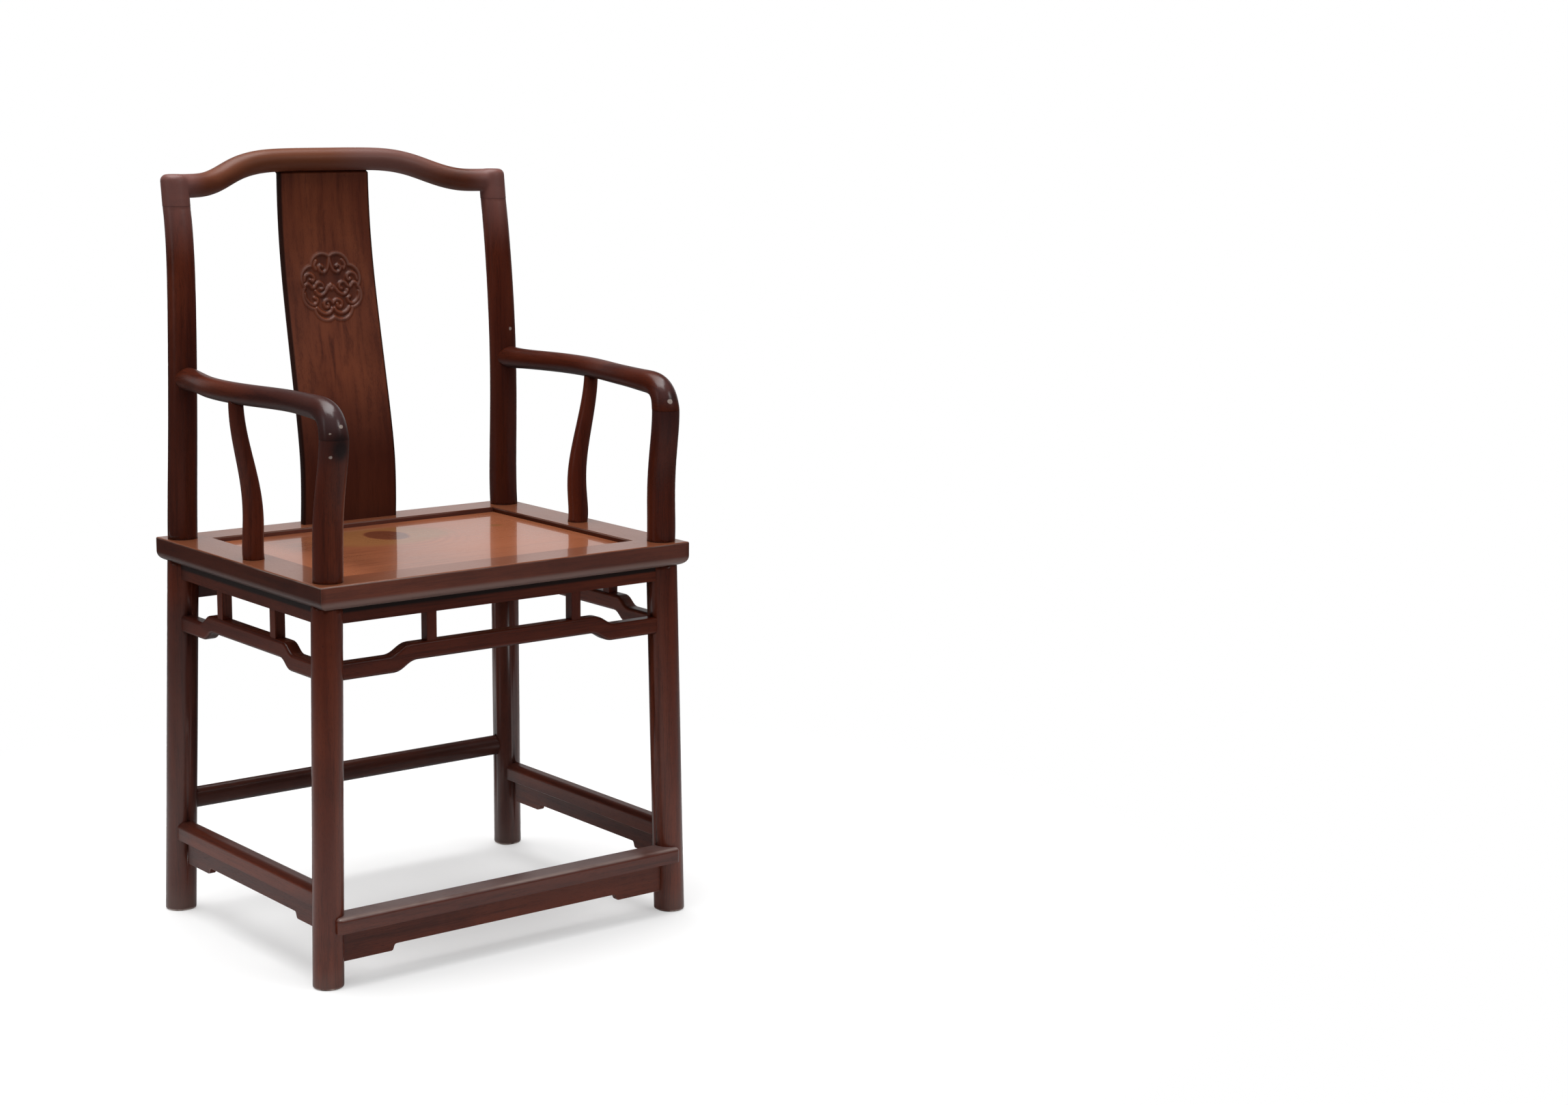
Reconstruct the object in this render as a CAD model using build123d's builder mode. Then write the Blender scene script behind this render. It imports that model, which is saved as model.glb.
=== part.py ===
"""Southern official's hat armchair, built as separate joined pieces.

Millimetres. +Z is up and the floor is Z = 0. The sitter faces -Y, and +X is on the right
as seen from in front of the chair. The origin is on the floor, at the middle of the
chair's overall width and depth. Pieces named left are at -X.
"""

from build123d import *
import os

os.makedirs("parts", exist_ok=True)

# ---------------------------------------------------------------- seat
seat_width = 580
seat_depth = 462
seat_height = 535
frame_thickness = 33
side_rail_width = 59
long_rail_width = 52
frame_edge_round = 2
moulding_inset = 11
moulding_height = 14

panel_recess = 7
panel_thickness = 13
panel_play = 0.4
tongue_thickness = 6
tongue_length = 7
groove_depth = 8

batten_spacing = 190
batten_width = 30
batten_tenon_length = 12
batten_tenon_height = 7

mitre_tenon_length = 28
mitre_tenon_width = 8
mitre_tenon_height = 7

# ---------------------------------------------------------------- legs and posts
# The legs stand in from the seat's edges at its top, and spread towards the floor.
leg_side_inset = 25.2
leg_end_inset = 30
leg_side_splay = 12
front_leg_splay = 5
rear_leg_splay = 16
leg_radius = 20.5
leg_inner_corner = 15
foot_edge_round = 3
neck_radius = 17

arm_rise = 223.5
arm_bend_drop = 38.5
rear_post_rise = 457
# Posts above the seat: distance in from the seat's side edge, distance in from its back
# or front edge, share of the post's rise, and radius. The back posts lean forward up to
# the arms, then sweep back.
rear_post_stations = (
    (25.5, 30, 0, 20.4),
    (27.4, 32.6, 0.23, 20),
    (29.1, 36.4, 0.48, 19.6),
    (32.1, 34.6, 0.72, 19.2),
    (34.2, 29.5, 0.886, 18.8),
    (34.7, 22, 1, 18.6),
)
front_post_stations = (
    (26.7, 30, 0, 19.8),
    (27.6, 28.7, 0.35, 19.6),
    (29, 23.4, 0.63, 19.3),
    (30.2, 16.4, 0.85, 19.1),
    (30.8, 14, 1, 19),
)
post_tenon_radius = 9
post_tenon_length = 22

# ---------------------------------------------------------------- fits
fit = 0.15
end_play = 0.5
tenon_thickness = 8
tenon_length = 14
tenon_from_leg_centre = 8.5
tenon_shoulder = 4
round_tenon_radius = 6
round_tenon_length = 12

# ---------------------------------------------------------------- crest rail
crest_radius = 16.3
crest_bowl_radius = 18.8
crest_bowl_edge = 9
crest_bowl_height = 43
# Half of the rail's centre line, from over the post's head: distance inward, backward
# and upward from the joint. The middle of the rail goes on from the last point.
crest_line = (
    (0, 3.3, 26.6),
    (20.2, 7, 26.6),
    (50.2, 15.5, 27.8),
    (80.2, 27.5, 35.5),
    (115.2, 39.8, 48.5),
    (150.2, 45.3, 56),
    (185.2, 48, 58.2),
)
crest_middle_back = 49
crest_middle_up = 58.6

# ---------------------------------------------------------------- back board
splat_thickness = 11
splat_foot_half_width = 76.2
splat_head_half_width = 71.7
splat_tongue_thickness = 7
splat_tongue_length = 12
splat_tongue_inset = 4
splat_head_scribe = 10.6
# Middle of the board's thickness: distance forward of the seat's back edge, and share of
# the board's height.
splat_line = (
    (27, 0),
    (29, 0.099),
    (27.2, 0.188),
    (23, 0.251),
    (12, 0.37),
    (-5.3, 0.545),
    (-18.8, 0.693),
    (-27.3, 0.832),
    (-30, 0.941),
    (-30.2, 1),
)
roundel_rise = 333
roundel_radius = 44
roundel_lobes = 8
roundel_lobe_radius = 17.5
roundel_line_width = 3
roundel_depth = 1.5

# ---------------------------------------------------------------- arms
arm_radius = 14.3
# Right arm from the back post to the bend over the front post: share of the way, distance
# in from the seat's side edge, drop and radius.
arm_stations = (
    (0, 29.1, 0, 16.5),
    (0.055, 28.6, 0, 16),
    (0.113, 25.6, 0, 14.8),
    (0.2, 17.4, 0, arm_radius),
    (0.298, 9, 0, arm_radius),
    (0.4, 6, 0, arm_radius),
    (0.497, 8.2, 0, arm_radius),
    (0.594, 14.9, 0, arm_radius),
    (0.696, 23.6, 0.1, arm_radius),
    (0.8, 28.8, 0.9, 14.7),
    (0.881, 30.4, 2.3, 15.6),
)
# Turn and radius of the sections round the bend, a quarter circle.
arm_bend_sections = ((30, 16.8), (60, 18))
arm_tenon_radius = 8
arm_tenon_length = 12

# ---------------------------------------------------------------- side posts
# Distance in from the seat's side edge, distance behind the seat's middle, share of the
# arm's rise, and radius.
side_post_stations = (
    (28.7, 0.5, 0, 14.4),
    (29.1, 0.5, 0.18, 14.1),
    (29.1, 0.8, 0.327, 13.4),
    (23, 0, 0.515, 12.2),
    (13.2, -1, 0.716, 11),
    (7.8, -2, 0.864, 10.2),
    (7.1, -2.6, 1, 9.9),
)

# ---------------------------------------------------------------- rails under the seat
under_rail_height = 21.5
under_rail_depth = 18
under_rail_rounds = (0.5, 3)
# The back has one plain deep rail instead of a thin rail and a humped one.
back_rail_height = 52
hump_drop = 96.5
hump_depth = 20
hump_height = 23
hump_rise = 13.5
hump_edge_round = 4
# Half lengths of the hump's foot and of its level top, along its lower edge.
long_hump_step = (174, 136)
side_hump_step = (124, 93)
step_lead = 8
strut_width = 15
strut_point = 5
long_strut_spacing = 229
side_strut_spacing = 148

# ---------------------------------------------------------------- lower stretchers
foot_rest_low = 75.7
foot_rest_thickness = 20.8
foot_rest_front_reach = 28.8
foot_rest_back_reach = 6.2
foot_rest_front_round = 5.5
foot_rest_back_round = 2
foot_rest_tip_round = 6

side_stretcher_low = 106
side_stretcher_height = 25
side_stretcher_width = 26
side_stretcher_upper_round = 9
side_stretcher_lower_round = 4

back_stretcher_middle = 159
back_stretcher_width = 22
back_stretcher_height = 30

apron_thickness = 10
apron_step = 9
apron_tongue_thickness = 5
apron_tongue_height = 5
apron_gap = 12
front_apron_height = 36.2
front_apron_step_half = 180
side_apron_height = 24
side_apron_steps = (-128, 118)

# ---------------------------------------------------------------- derived places
# The posts' radii at the floor, the arms and the crest set the chair's overall depth.
crest_back_reach = crest_middle_back + crest_radius - rear_post_stations[-1][1]
arm_front_reach = front_post_stations[-1][3] - front_post_stations[-1][1]
seat_middle_y = (arm_front_reach - crest_back_reach) / 2

# The side moulding is as much wider as its rail, so that both meet on the mitre.
side_moulding_inset = moulding_inset * side_rail_width / long_rail_width

frame_underside = seat_height - frame_thickness
moulding_top = frame_underside + moulding_height
seat_side_x = seat_width / 2
seat_front_y = seat_middle_y - seat_depth / 2
seat_back_y = seat_middle_y + seat_depth / 2
opening_half_width = seat_side_x - side_rail_width
opening_front_y = seat_front_y + long_rail_width
opening_back_y = seat_back_y - long_rail_width

panel_top = seat_height - panel_recess
panel_underside = panel_top - panel_thickness

arm_height = seat_height + arm_rise
arm_joint_height = arm_height - arm_bend_drop
rear_post_head = seat_height + rear_post_rise
crest_height = rear_post_head + crest_middle_up
splat_head_height = crest_height - splat_head_scribe

under_rail_low = frame_underside - under_rail_height
hump_low = frame_underside - hump_drop

# Lower and upper faces of every cross piece that is tenoned into the legs.
under_rail_levels = (under_rail_low, frame_underside)
back_rail_levels = (frame_underside - back_rail_height, frame_underside)
hump_levels = (hump_low, hump_low + hump_height)
foot_rest_levels = (foot_rest_low, foot_rest_low + foot_rest_thickness)
side_stretcher_levels = (side_stretcher_low, side_stretcher_low + side_stretcher_height)
back_stretcher_levels = (
    back_stretcher_middle - back_stretcher_height / 2,
    back_stretcher_middle + back_stretcher_height / 2,
)
cross_levels = {
    "front": (under_rail_levels, hump_levels, foot_rest_levels),
    "rear": (back_rail_levels, back_stretcher_levels),
}
side_levels = (under_rail_levels, hump_levels, side_stretcher_levels)


def leg_centre(end, height):
    """Centre of the right-hand front or rear leg at a height below the seat."""
    to_floor = 1 - height / seat_height
    x = seat_side_x - leg_side_inset + leg_side_splay * to_floor
    if end == "front":
        return x, seat_front_y + leg_end_inset - front_leg_splay * to_floor
    return x, seat_back_y - leg_end_inset + rear_leg_splay * to_floor


def rear_post_centres():
    """Centre, height and radius of the right back post's sections above the seat."""
    return [
        (seat_side_x - inset, seat_back_y - inward, seat_height + share * rear_post_rise, radius)
        for inset, inward, share, radius in rear_post_stations
    ]


def front_post_centres():
    """Centre, height and radius of the right front post's sections above the seat."""
    rise = arm_joint_height - seat_height
    return [
        (seat_side_x - inset, seat_front_y + inward, seat_height + share * rise, radius)
        for inset, inward, share, radius in front_post_stations
    ]


def side_post_centres():
    """Centre, height and radius of the right side post's sections."""
    return [
        (seat_side_x - inset, seat_middle_y + back, seat_height + share * arm_rise, radius)
        for inset, back, share, radius in side_post_stations
    ]


def save(part, name):
    """Label one finished piece and write it."""
    part.label = name
    export_step(part, f"parts/{name}.step")


def save_pair(right_part, name):
    """Write a right-hand piece and its mirror image."""
    save(right_part, f"{name}_right")
    save(mirror(right_part, about=Plane.YZ), f"{name}_left")


def upright_cylinder(x, y, low, high, radius):
    """Upright round tenon, or the bore for one."""
    with BuildPart() as cylinder:
        with BuildSketch(Plane.XY.offset(low)):
            with Locations((x, y)):
                Circle(radius)
        extrude(amount=high - low)
    return cylinder.part


def tenon_block(centre, size, grow=0.0):
    """Tenon as a block. The mortise for it is the same block, grown."""
    with BuildPart() as block:
        with Locations(centre):
            Box(*(length + 2 * grow for length in size))
    return block.part


# ================================================================ seat frame's outer shape
def frame_outline(plane, first, last, inset):
    """Section across the whole seat frame, moulded along both outer edges."""
    with BuildSketch(plane) as outline:
        with BuildLine():
            Line((first, moulding_top), (first, seat_height))
            Line((first, seat_height), (last, seat_height))
            Line((last, seat_height), (last, moulding_top))
            Spline(
                (last, moulding_top),
                (last - inset, frame_underside),
                tangents=((0, -1), (-1, -0.25)),
            )
            Line((last - inset, frame_underside), (first + inset, frame_underside))
            Spline(
                (first + inset, frame_underside),
                (first, moulding_top),
                tangents=((-1, 0.25), (0, 1)),
            )
        make_face()
        upper_corners = outline.vertices().group_by(Axis.Y)[-1]
        fillet(upper_corners, frame_edge_round)
    return outline.sketch


def frame_length():
    """Block with the frame's section from front to back, all along its width."""
    plane = Plane.YZ.offset(-seat_side_x)
    with BuildPart() as block:
        extrude(frame_outline(plane, seat_front_y, seat_back_y, moulding_inset), amount=seat_width)
    return block.part


def frame_breadth():
    """Block with the frame's section from side to side, all along its depth."""
    plane = Plane.XZ.offset(-seat_back_y)
    with BuildPart() as block:
        extrude(
            frame_outline(plane, -seat_side_x, seat_side_x, side_moulding_inset), amount=seat_depth
        )
    return block.part


with BuildPart() as seat_block:
    add(frame_length())
    add(frame_breadth(), mode=Mode.INTERSECT)


# ================================================================ legs and posts
def leg_section(end, height):
    """Round leg whose inner quarter is squared, drawn at one height."""
    x, y = leg_centre(end, height)
    inward_y = 1 if end == "front" else -1
    diagonal = leg_radius / 2**0.5
    side = (x - leg_radius, y)
    face = (x, y + inward_y * leg_radius)
    corner = (x - leg_radius, y + inward_y * leg_radius)
    outermost = (x + diagonal, y - inward_y * diagonal)
    with BuildSketch(Plane.XY.offset(height)) as section:
        with BuildLine():
            ThreePointArc(side, outermost, face)
            FilletPolyline(face, corner, side, radius=leg_inner_corner)
        make_face()
    return section.sketch


def round_member(centres):
    """Smooth round member through horizontal sections."""
    with BuildPart() as member:
        for x, y, height, radius in centres:
            with BuildSketch(Plane.XY.offset(height)):
                with Locations((x, y)):
                    Circle(radius)
        loft()
    return member.part


def neck(end, radius):
    """The reduced length of a leg where it passes through the seat frame."""
    with BuildPart() as part:
        for height in (frame_underside, seat_height):
            with BuildSketch(Plane.XY.offset(height)):
                with Locations(leg_centre(end, height)):
                    Circle(radius)
        loft()
    return part.part


def post_body(end, centres):
    """Leg, neck, post and top tenon in one length, before its mortises are cut."""
    x, y, joint_height, _ = centres[-1]
    with BuildPart() as post:
        loft((leg_section(end, 0), leg_section(end, moulding_top)))
        fillet(post.faces().sort_by(Axis.Z)[0].edges(), foot_edge_round)
        add(seat_block.part, mode=Mode.SUBTRACT)
        add(neck(end, neck_radius))
        add(round_member(centres))
        add(upright_cylinder(x, y, joint_height, joint_height + post_tenon_length, post_tenon_radius))
    return post.part


def post_socket(centres):
    """Bore for the tenon at the head of a post."""
    x, y, joint_height, _ = centres[-1]
    top = joint_height + post_tenon_length + end_play
    return upright_cylinder(x, y, joint_height, top, post_tenon_radius + fit)


def tenon_along_x(end, low, high):
    """Centre and size of the tenon of a front or back rail in the right-hand leg."""
    middle = (low + high) / 2
    x, y = leg_centre(end, middle)
    centre = (x - tenon_from_leg_centre - tenon_length / 2, y, middle)
    return centre, (tenon_length, tenon_thickness, high - low - 2 * tenon_shoulder)


def tenon_along_y(end, low, high):
    """Centre and size of the tenon of a right-hand side rail in one of its legs."""
    middle = (low + high) / 2
    x, y = leg_centre(end, middle)
    inward_y = 1 if end == "front" else -1
    centre = (x, y + inward_y * (tenon_from_leg_centre + tenon_length / 2), middle)
    return centre, (tenon_thickness, tenon_length, high - low - 2 * tenon_shoulder)


def arm_tenon(radius, length):
    """Round tenon from the right arm's rear end into the back post."""
    x, y, post_radius = arm_rear_end()
    inside_arm = arm_tenon_length / 2
    with BuildPart() as tenon:
        with BuildSketch(Plane.XZ.offset(post_radius + inside_arm - y)):
            with Locations((x, arm_height)):
                Circle(radius)
        extrude(amount=-(inside_arm + length))
    return tenon.part


def arm_rear_end():
    """Centre and radius of the right back post where the arm meets it."""
    centres = rear_post_centres()
    above = next(i for i, centre in enumerate(centres) if centre[2] >= arm_height)
    lower, upper = centres[above - 1], centres[above]
    share = (arm_height - lower[2]) / (upper[2] - lower[2])
    x, y, _, radius = (a + (b - a) * share for a, b in zip(lower, upper))
    return x, y, radius


def finished_post(body, end):
    """Cut every mortise of one right-hand post."""
    with BuildPart() as post:
        add(body)
        for low, high in cross_levels[end]:
            add(tenon_block(*tenon_along_x(end, low, high), fit), mode=Mode.SUBTRACT)
        for low, high in side_levels:
            add(tenon_block(*tenon_along_y(end, low, high), fit), mode=Mode.SUBTRACT)
        if end == "rear":
            add(arm_tenon(arm_tenon_radius + fit, arm_tenon_length + end_play), mode=Mode.SUBTRACT)
    return post.part


front_body = post_body("front", front_post_centres())
rear_body = post_body("rear", rear_post_centres())
front_bodies = (front_body, mirror(front_body, about=Plane.YZ))
rear_bodies = (rear_body, mirror(rear_body, about=Plane.YZ))

save_pair(finished_post(front_body, "front"), "front_post")
save_pair(finished_post(rear_body, "rear"), "rear_post")


# ================================================================ crest rail
def crest_bowl():
    """Turned-down end of the crest rail that caps the right back post."""
    x, y, joint_height, _ = rear_post_centres()[-1]
    _, lean, up = crest_line[0]
    top_y = y + lean * crest_bowl_height / up
    with BuildPart() as bowl:
        for centre_y, height in ((y, 0), (top_y, crest_bowl_height)):
            with BuildSketch(Plane.XY.offset(joint_height + height)):
                with Locations((x, centre_y)):
                    Circle(crest_bowl_radius)
        loft()
        fillet(bowl.faces().sort_by(Axis.Z)[-1].edges(), crest_bowl_edge)
    return bowl.part


def crest_path():
    """Centre line of the crest rail from the left post to the right post."""
    x, y, joint_height, _ = rear_post_centres()[-1]
    right = [(x - inward, y + back, joint_height + up) for inward, back, up in reversed(crest_line)]
    left = [(-px, py, pz) for px, py, pz in reversed(right)]
    middle = (0, y + crest_middle_back, joint_height + crest_middle_up)
    with BuildLine() as path:
        Spline(*left, middle, *right)
    return path.line


def crest_body():
    """The crest rail before its sockets and the board's groove are cut."""
    path = crest_path()
    bowl = crest_bowl()
    with BuildPart() as crest:
        with BuildSketch(Plane(origin=path @ 0, z_dir=path % 0)):
            Circle(crest_radius)
        sweep(path=path)
        add(bowl)
        add(mirror(bowl, about=Plane.YZ))
    return crest.part


# ================================================================ back board
splat_foot_y = seat_back_y - splat_line[0][0]
splat_head_y = seat_back_y - splat_line[-1][0]


def splat_slab(front, back, half_width):
    """A slab that follows the board's curve between two offsets from its middle."""
    height = splat_head_height - seat_height
    middle = [(seat_back_y - forward, seat_height + share * height) for forward, share in splat_line]
    with BuildPart() as slab:
        with BuildSketch(Plane.YZ):
            with BuildLine():
                Spline(*((y + front, z) for y, z in middle))
                Spline(*((y + back, z) for y, z in middle))
                for y, z in (middle[0], middle[-1]):
                    Line((y + front, z), (y + back, z))
            make_face()
        extrude(amount=half_width, both=True)
    return slab.part


def roundel_groove():
    """Lobed line sunk in the front of the board, following its curve."""
    half = splat_thickness / 2
    skin = splat_slab(-splat_thickness, roundel_depth - half, splat_head_half_width)
    ring = roundel_radius - roundel_lobe_radius
    half_line = roundel_line_width / 2
    half_lobe = 180 / roundel_lobes
    with BuildPart() as groove:
        with BuildSketch(Plane.XZ.offset(-seat_back_y)):
            with Locations((0, seat_height + roundel_rise)):
                with PolarLocations(ring, roundel_lobes, half_lobe):
                    Circle(roundel_lobe_radius + half_line)
                with PolarLocations(ring, roundel_lobes, half_lobe):
                    Circle(roundel_lobe_radius - half_line, mode=Mode.SUBTRACT)
                Circle(ring + half_line, mode=Mode.SUBTRACT)
        extrude(amount=seat_depth / 2, both=True)
        add(skin, mode=Mode.INTERSECT)
    return groove.part


def splat_body():
    """Tapered and curved board with a tongue at its foot."""
    half = splat_thickness / 2
    with BuildPart() as splat:
        add(splat_slab(-half, half, splat_foot_half_width))
        with BuildSketch(Plane.XZ.offset(-seat_back_y)):
            Polygon(
                (-splat_foot_half_width, seat_height),
                (splat_foot_half_width, seat_height),
                (splat_head_half_width, splat_head_height),
                (-splat_head_half_width, splat_head_height),
                align=None,
            )
        extrude(amount=seat_depth / 2, both=True, mode=Mode.INTERSECT)
        add(splat_foot_tongue(splat_tongue_length))
        add(roundel_groove(), mode=Mode.SUBTRACT)
    return splat.part


def splat_foot_tongue(length, grow=0.0):
    """Tongue of the board in the back seat rail, or the groove for it."""
    width = 2 * (splat_foot_half_width - splat_tongue_inset)
    with BuildPart() as tongue:
        with BuildSketch(Plane.XY.offset(seat_height)):
            with Locations((0, splat_foot_y)):
                Rectangle(width + 2 * grow, splat_tongue_thickness + 2 * grow)
        extrude(amount=-length)
    return tongue.part


# The board's head is scribed to the crest rail, and its tongue stands up inside it.
head_tongue_size = (
    2 * (splat_head_half_width - 2 * splat_tongue_inset),
    splat_tongue_thickness,
    2 * splat_tongue_length,
)
head_tongue_centre = (0, splat_head_y, splat_head_height)

crest_rail_body = crest_body()
crest_socket = post_socket(rear_post_centres())

with BuildPart() as back_splat:
    add(splat_body())
    add(crest_rail_body, mode=Mode.SUBTRACT)
    add(tenon_block(head_tongue_centre, head_tongue_size))
save(back_splat.part, "back_splat")

with BuildPart() as crest_rail:
    add(crest_rail_body)
    add(tenon_block(head_tongue_centre, head_tongue_size, fit), mode=Mode.SUBTRACT)
    add(crest_socket, mode=Mode.SUBTRACT)
    add(mirror(crest_socket, about=Plane.YZ), mode=Mode.SUBTRACT)
save(crest_rail.part, "crest_rail")


# ================================================================ arms and side posts
def tube_section(point, direction, radius):
    """Round section of a bent member, square to its direction."""
    with BuildSketch(Plane(origin=point, x_dir=(1, 0, 0), z_dir=direction)) as section:
        Circle(radius)
    return section.sketch


def arm_body():
    """Right arm from inside the back post to the joint above the front post."""
    rear_y = arm_rear_end()[1]
    joint_x, joint_y, _, joint_radius = front_post_centres()[-1]
    points = [
        Vector(seat_side_x - inset, rear_y + share * (joint_y - rear_y), arm_height - drop)
        for share, inset, drop, _ in arm_stations
    ]
    sections = []
    for index, point in enumerate(points):
        before = points[max(index - 1, 0)]
        after = points[min(index + 1, len(points) - 1)]
        sections.append(tube_section(point, after - before, arm_stations[index][3]))
    bend_radius = points[-1].Z - arm_joint_height
    bend_centre = Vector(joint_x, joint_y + bend_radius, arm_joint_height)
    for turn, radius in (*arm_bend_sections, (90, joint_radius)):
        spoke = Vector(0, 0, bend_radius).rotate(Axis.X, turn)
        along = Vector(0, -1, 0).rotate(Axis.X, turn)
        sections.append(tube_section(bend_centre + spoke, along, radius))
    with BuildPart() as arm:
        loft(sections)
    return arm.part


def side_post_tenon(radius, play=0.0):
    """Tenon at the head of the right side post, or the bore for it."""
    x, y, _, _ = side_post_centres()[-1]
    low = arm_height - arm_radius - tenon_shoulder
    high = arm_height + round_tenon_length / 2 + play
    return upright_cylinder(x, y, low, high, radius)


def side_post_foot(radius, play=0.0):
    """Tenon at the foot of the right side post, or the bore for it."""
    x, y, _, _ = side_post_centres()[0]
    return upright_cylinder(x, y, seat_height - round_tenon_length - play, seat_height, radius)


whole_arm = arm_body()
with BuildPart() as arm:
    add(whole_arm)
    add(rear_body, mode=Mode.SUBTRACT)
    add(front_body, mode=Mode.SUBTRACT)
    add(arm_tenon(arm_tenon_radius, arm_tenon_length))
    add(post_socket(front_post_centres()), mode=Mode.SUBTRACT)
    add(side_post_tenon(round_tenon_radius + fit, end_play), mode=Mode.SUBTRACT)
save_pair(arm.part, "arm")

with BuildPart() as side_post:
    add(round_member(side_post_centres()))
    add(whole_arm, mode=Mode.SUBTRACT)
    add(side_post_tenon(round_tenon_radius))
    add(side_post_foot(round_tenon_radius))
save_pair(side_post.part, "side_post")


# ================================================================ seat frame and panel
def frame_corners(half_width, front_y, back_y):
    """Corners of a rectangle in plan: front left, front right, back right, back left."""
    return (
        (-half_width, front_y),
        (half_width, front_y),
        (half_width, back_y),
        (-half_width, back_y),
    )


outer_corners = frame_corners(seat_side_x, seat_front_y, seat_back_y)
inner_corners = frame_corners(opening_half_width, opening_front_y, opening_back_y)
opening_depth = opening_back_y - opening_front_y


def opening_slab(low, thickness, reach):
    """Level slab of the size of the frame's opening, reaching past it or short of it."""
    with BuildPart() as slab:
        with BuildSketch(Plane.XY.offset(low)):
            with Locations((0, seat_middle_y)):
                Rectangle(2 * (opening_half_width + reach), opening_depth + 2 * reach)
        extrude(amount=thickness)
    return slab.part


def mitre_tenons(grow=0.0):
    """Tenons of the front and back rails in the side rails, beside the inner corners."""
    height = frame_underside + tenon_shoulder + mitre_tenon_height / 2
    size = (mitre_tenon_length, mitre_tenon_width, mitre_tenon_height)
    x = opening_half_width + tenon_shoulder
    inset_y = mitre_tenon_width / 2 + tenon_shoulder
    with BuildPart() as tenons:
        for y in (opening_front_y - inset_y, opening_back_y + inset_y):
            with Locations((-x, y, height), (x, y, height)):
                Box(*(length + 2 * grow for length in size))
    return tenons.part


def batten(x, grow=0.0):
    """Batten under the panel with its end tenons."""
    height = panel_underside - frame_underside
    with BuildPart() as part:
        with Locations((x, seat_middle_y, frame_underside + height / 2)):
            Box(batten_width + 2 * grow, opening_depth, height)
            Box(
                batten_width - 2 * tenon_shoulder + 2 * grow,
                opening_depth + 2 * batten_tenon_length + 2 * grow,
                batten_tenon_height + 2 * grow,
            )
    return part.part


necks = [neck(end, neck_radius + fit) for end in ("front", "rear")]
necks += [mirror(part, about=Plane.YZ) for part in necks]
panel_groove = opening_slab(panel_underside - fit, tongue_thickness + 2 * fit, groove_depth)


def seat_rail(corner, block):
    """Rail cut from a moulded block, mitred from one numbered corner to the next."""
    after = (corner + 1) % 4
    plan = (outer_corners[corner], outer_corners[after], inner_corners[after], inner_corners[corner])
    with BuildPart() as rail:
        with BuildSketch(Plane.XY.offset(frame_underside)):
            with BuildLine():
                Polyline(*plan, close=True)
            make_face()
        extrude(amount=frame_thickness)
        add(block, mode=Mode.INTERSECT)
        add(panel_groove, mode=Mode.SUBTRACT)
        for part in necks:
            add(part, mode=Mode.SUBTRACT)
    return rail.part


def long_seat_rail(corner, cuts=()):
    """Front or back seat rail, which carries the mitre tenons and takes the battens."""
    middle_y = (outer_corners[corner][1] + inner_corners[corner][1]) / 2
    with BuildPart() as reach:
        with Locations((0, middle_y, seat_height)):
            Box(seat_width, long_rail_width, 2 * frame_thickness)
        add(mitre_tenons(), mode=Mode.INTERSECT)
    with BuildPart() as rail:
        add(seat_rail(corner, frame_length()))
        add(reach.part)
        for x in (-batten_spacing / 2, batten_spacing / 2):
            add(batten(x, fit), mode=Mode.SUBTRACT)
        for cut in cuts:
            add(cut, mode=Mode.SUBTRACT)
    return rail.part


save(long_seat_rail(0), "seat_rail_front")
save(long_seat_rail(2, [splat_foot_tongue(splat_tongue_length + end_play, fit)]), "seat_rail_back")

with BuildPart() as side_rail:
    add(seat_rail(1, frame_breadth()))
    add(mitre_tenons(fit), mode=Mode.SUBTRACT)
    add(side_post_foot(round_tenon_radius + fit, end_play), mode=Mode.SUBTRACT)
save_pair(side_rail.part, "seat_rail")

with BuildPart() as seat_panel:
    add(opening_slab(panel_underside, panel_thickness, -panel_play))
    add(opening_slab(panel_underside, tongue_thickness, tongue_length))
save(seat_panel.part, "seat_panel")

save_pair(batten(batten_spacing / 2), "panel_batten")


# ================================================================ rails and struts under the seat
def stepped_line(half_length, step, level):
    """Line with a raised middle, from left to right, inside a BuildLine."""
    outer, inner = step
    raised = level + hump_rise
    Line((-half_length, level), (-outer, level))
    Spline((-outer, level), (-inner, raised), tangents=((1, 0), (1, 0)))
    Line((-inner, raised), (inner, raised))
    Spline((inner, raised), (outer, level), tangents=((1, 0), (1, 0)))
    Line((outer, level), (half_length, level))


def hump_bar(plane, half_length, step):
    """Humpback bar drawn in elevation on a plane at the middle of its depth."""
    top = hump_low + hump_height
    upper_step = (step[0] + step_lead, step[1] + step_lead)
    with BuildPart() as bar:
        with BuildSketch(plane):
            with BuildLine():
                stepped_line(half_length, step, hump_low)
                stepped_line(half_length, upper_step, top)
                Line((-half_length, hump_low), (-half_length, top))
                Line((half_length, hump_low), (half_length, top))
            make_face()
        extrude(amount=hump_depth / 2, both=True)
        cheeks = bar.faces().filter_by(lambda face: abs(face.normal_at().dot(plane.z_dir)) > 0.9)
        long_edges = cheeks.edges().filter_by(Axis.Z, reverse=True)
        fillet(long_edges, hump_edge_round)
    return bar.part


def strut(plane, along):
    """Strut with a mitred point at each end, drawn in elevation."""
    half = strut_width / 2
    low = hump_low + hump_height + hump_rise
    high = under_rail_low
    with BuildPart() as part:
        with BuildSketch(plane):
            Polygon(
                (along - half, low),
                (along, low - strut_point),
                (along + half, low),
                (along + half, high),
                (along, high + strut_point),
                (along - half, high),
                align=None,
            )
        extrude(amount=strut_width / 2, both=True)
    return part.part


def strut_pair(plane, spacing):
    """The two struts of one side of the chair."""
    return [strut(plane, along) for along in (-spacing / 2, spacing / 2)]


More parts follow.
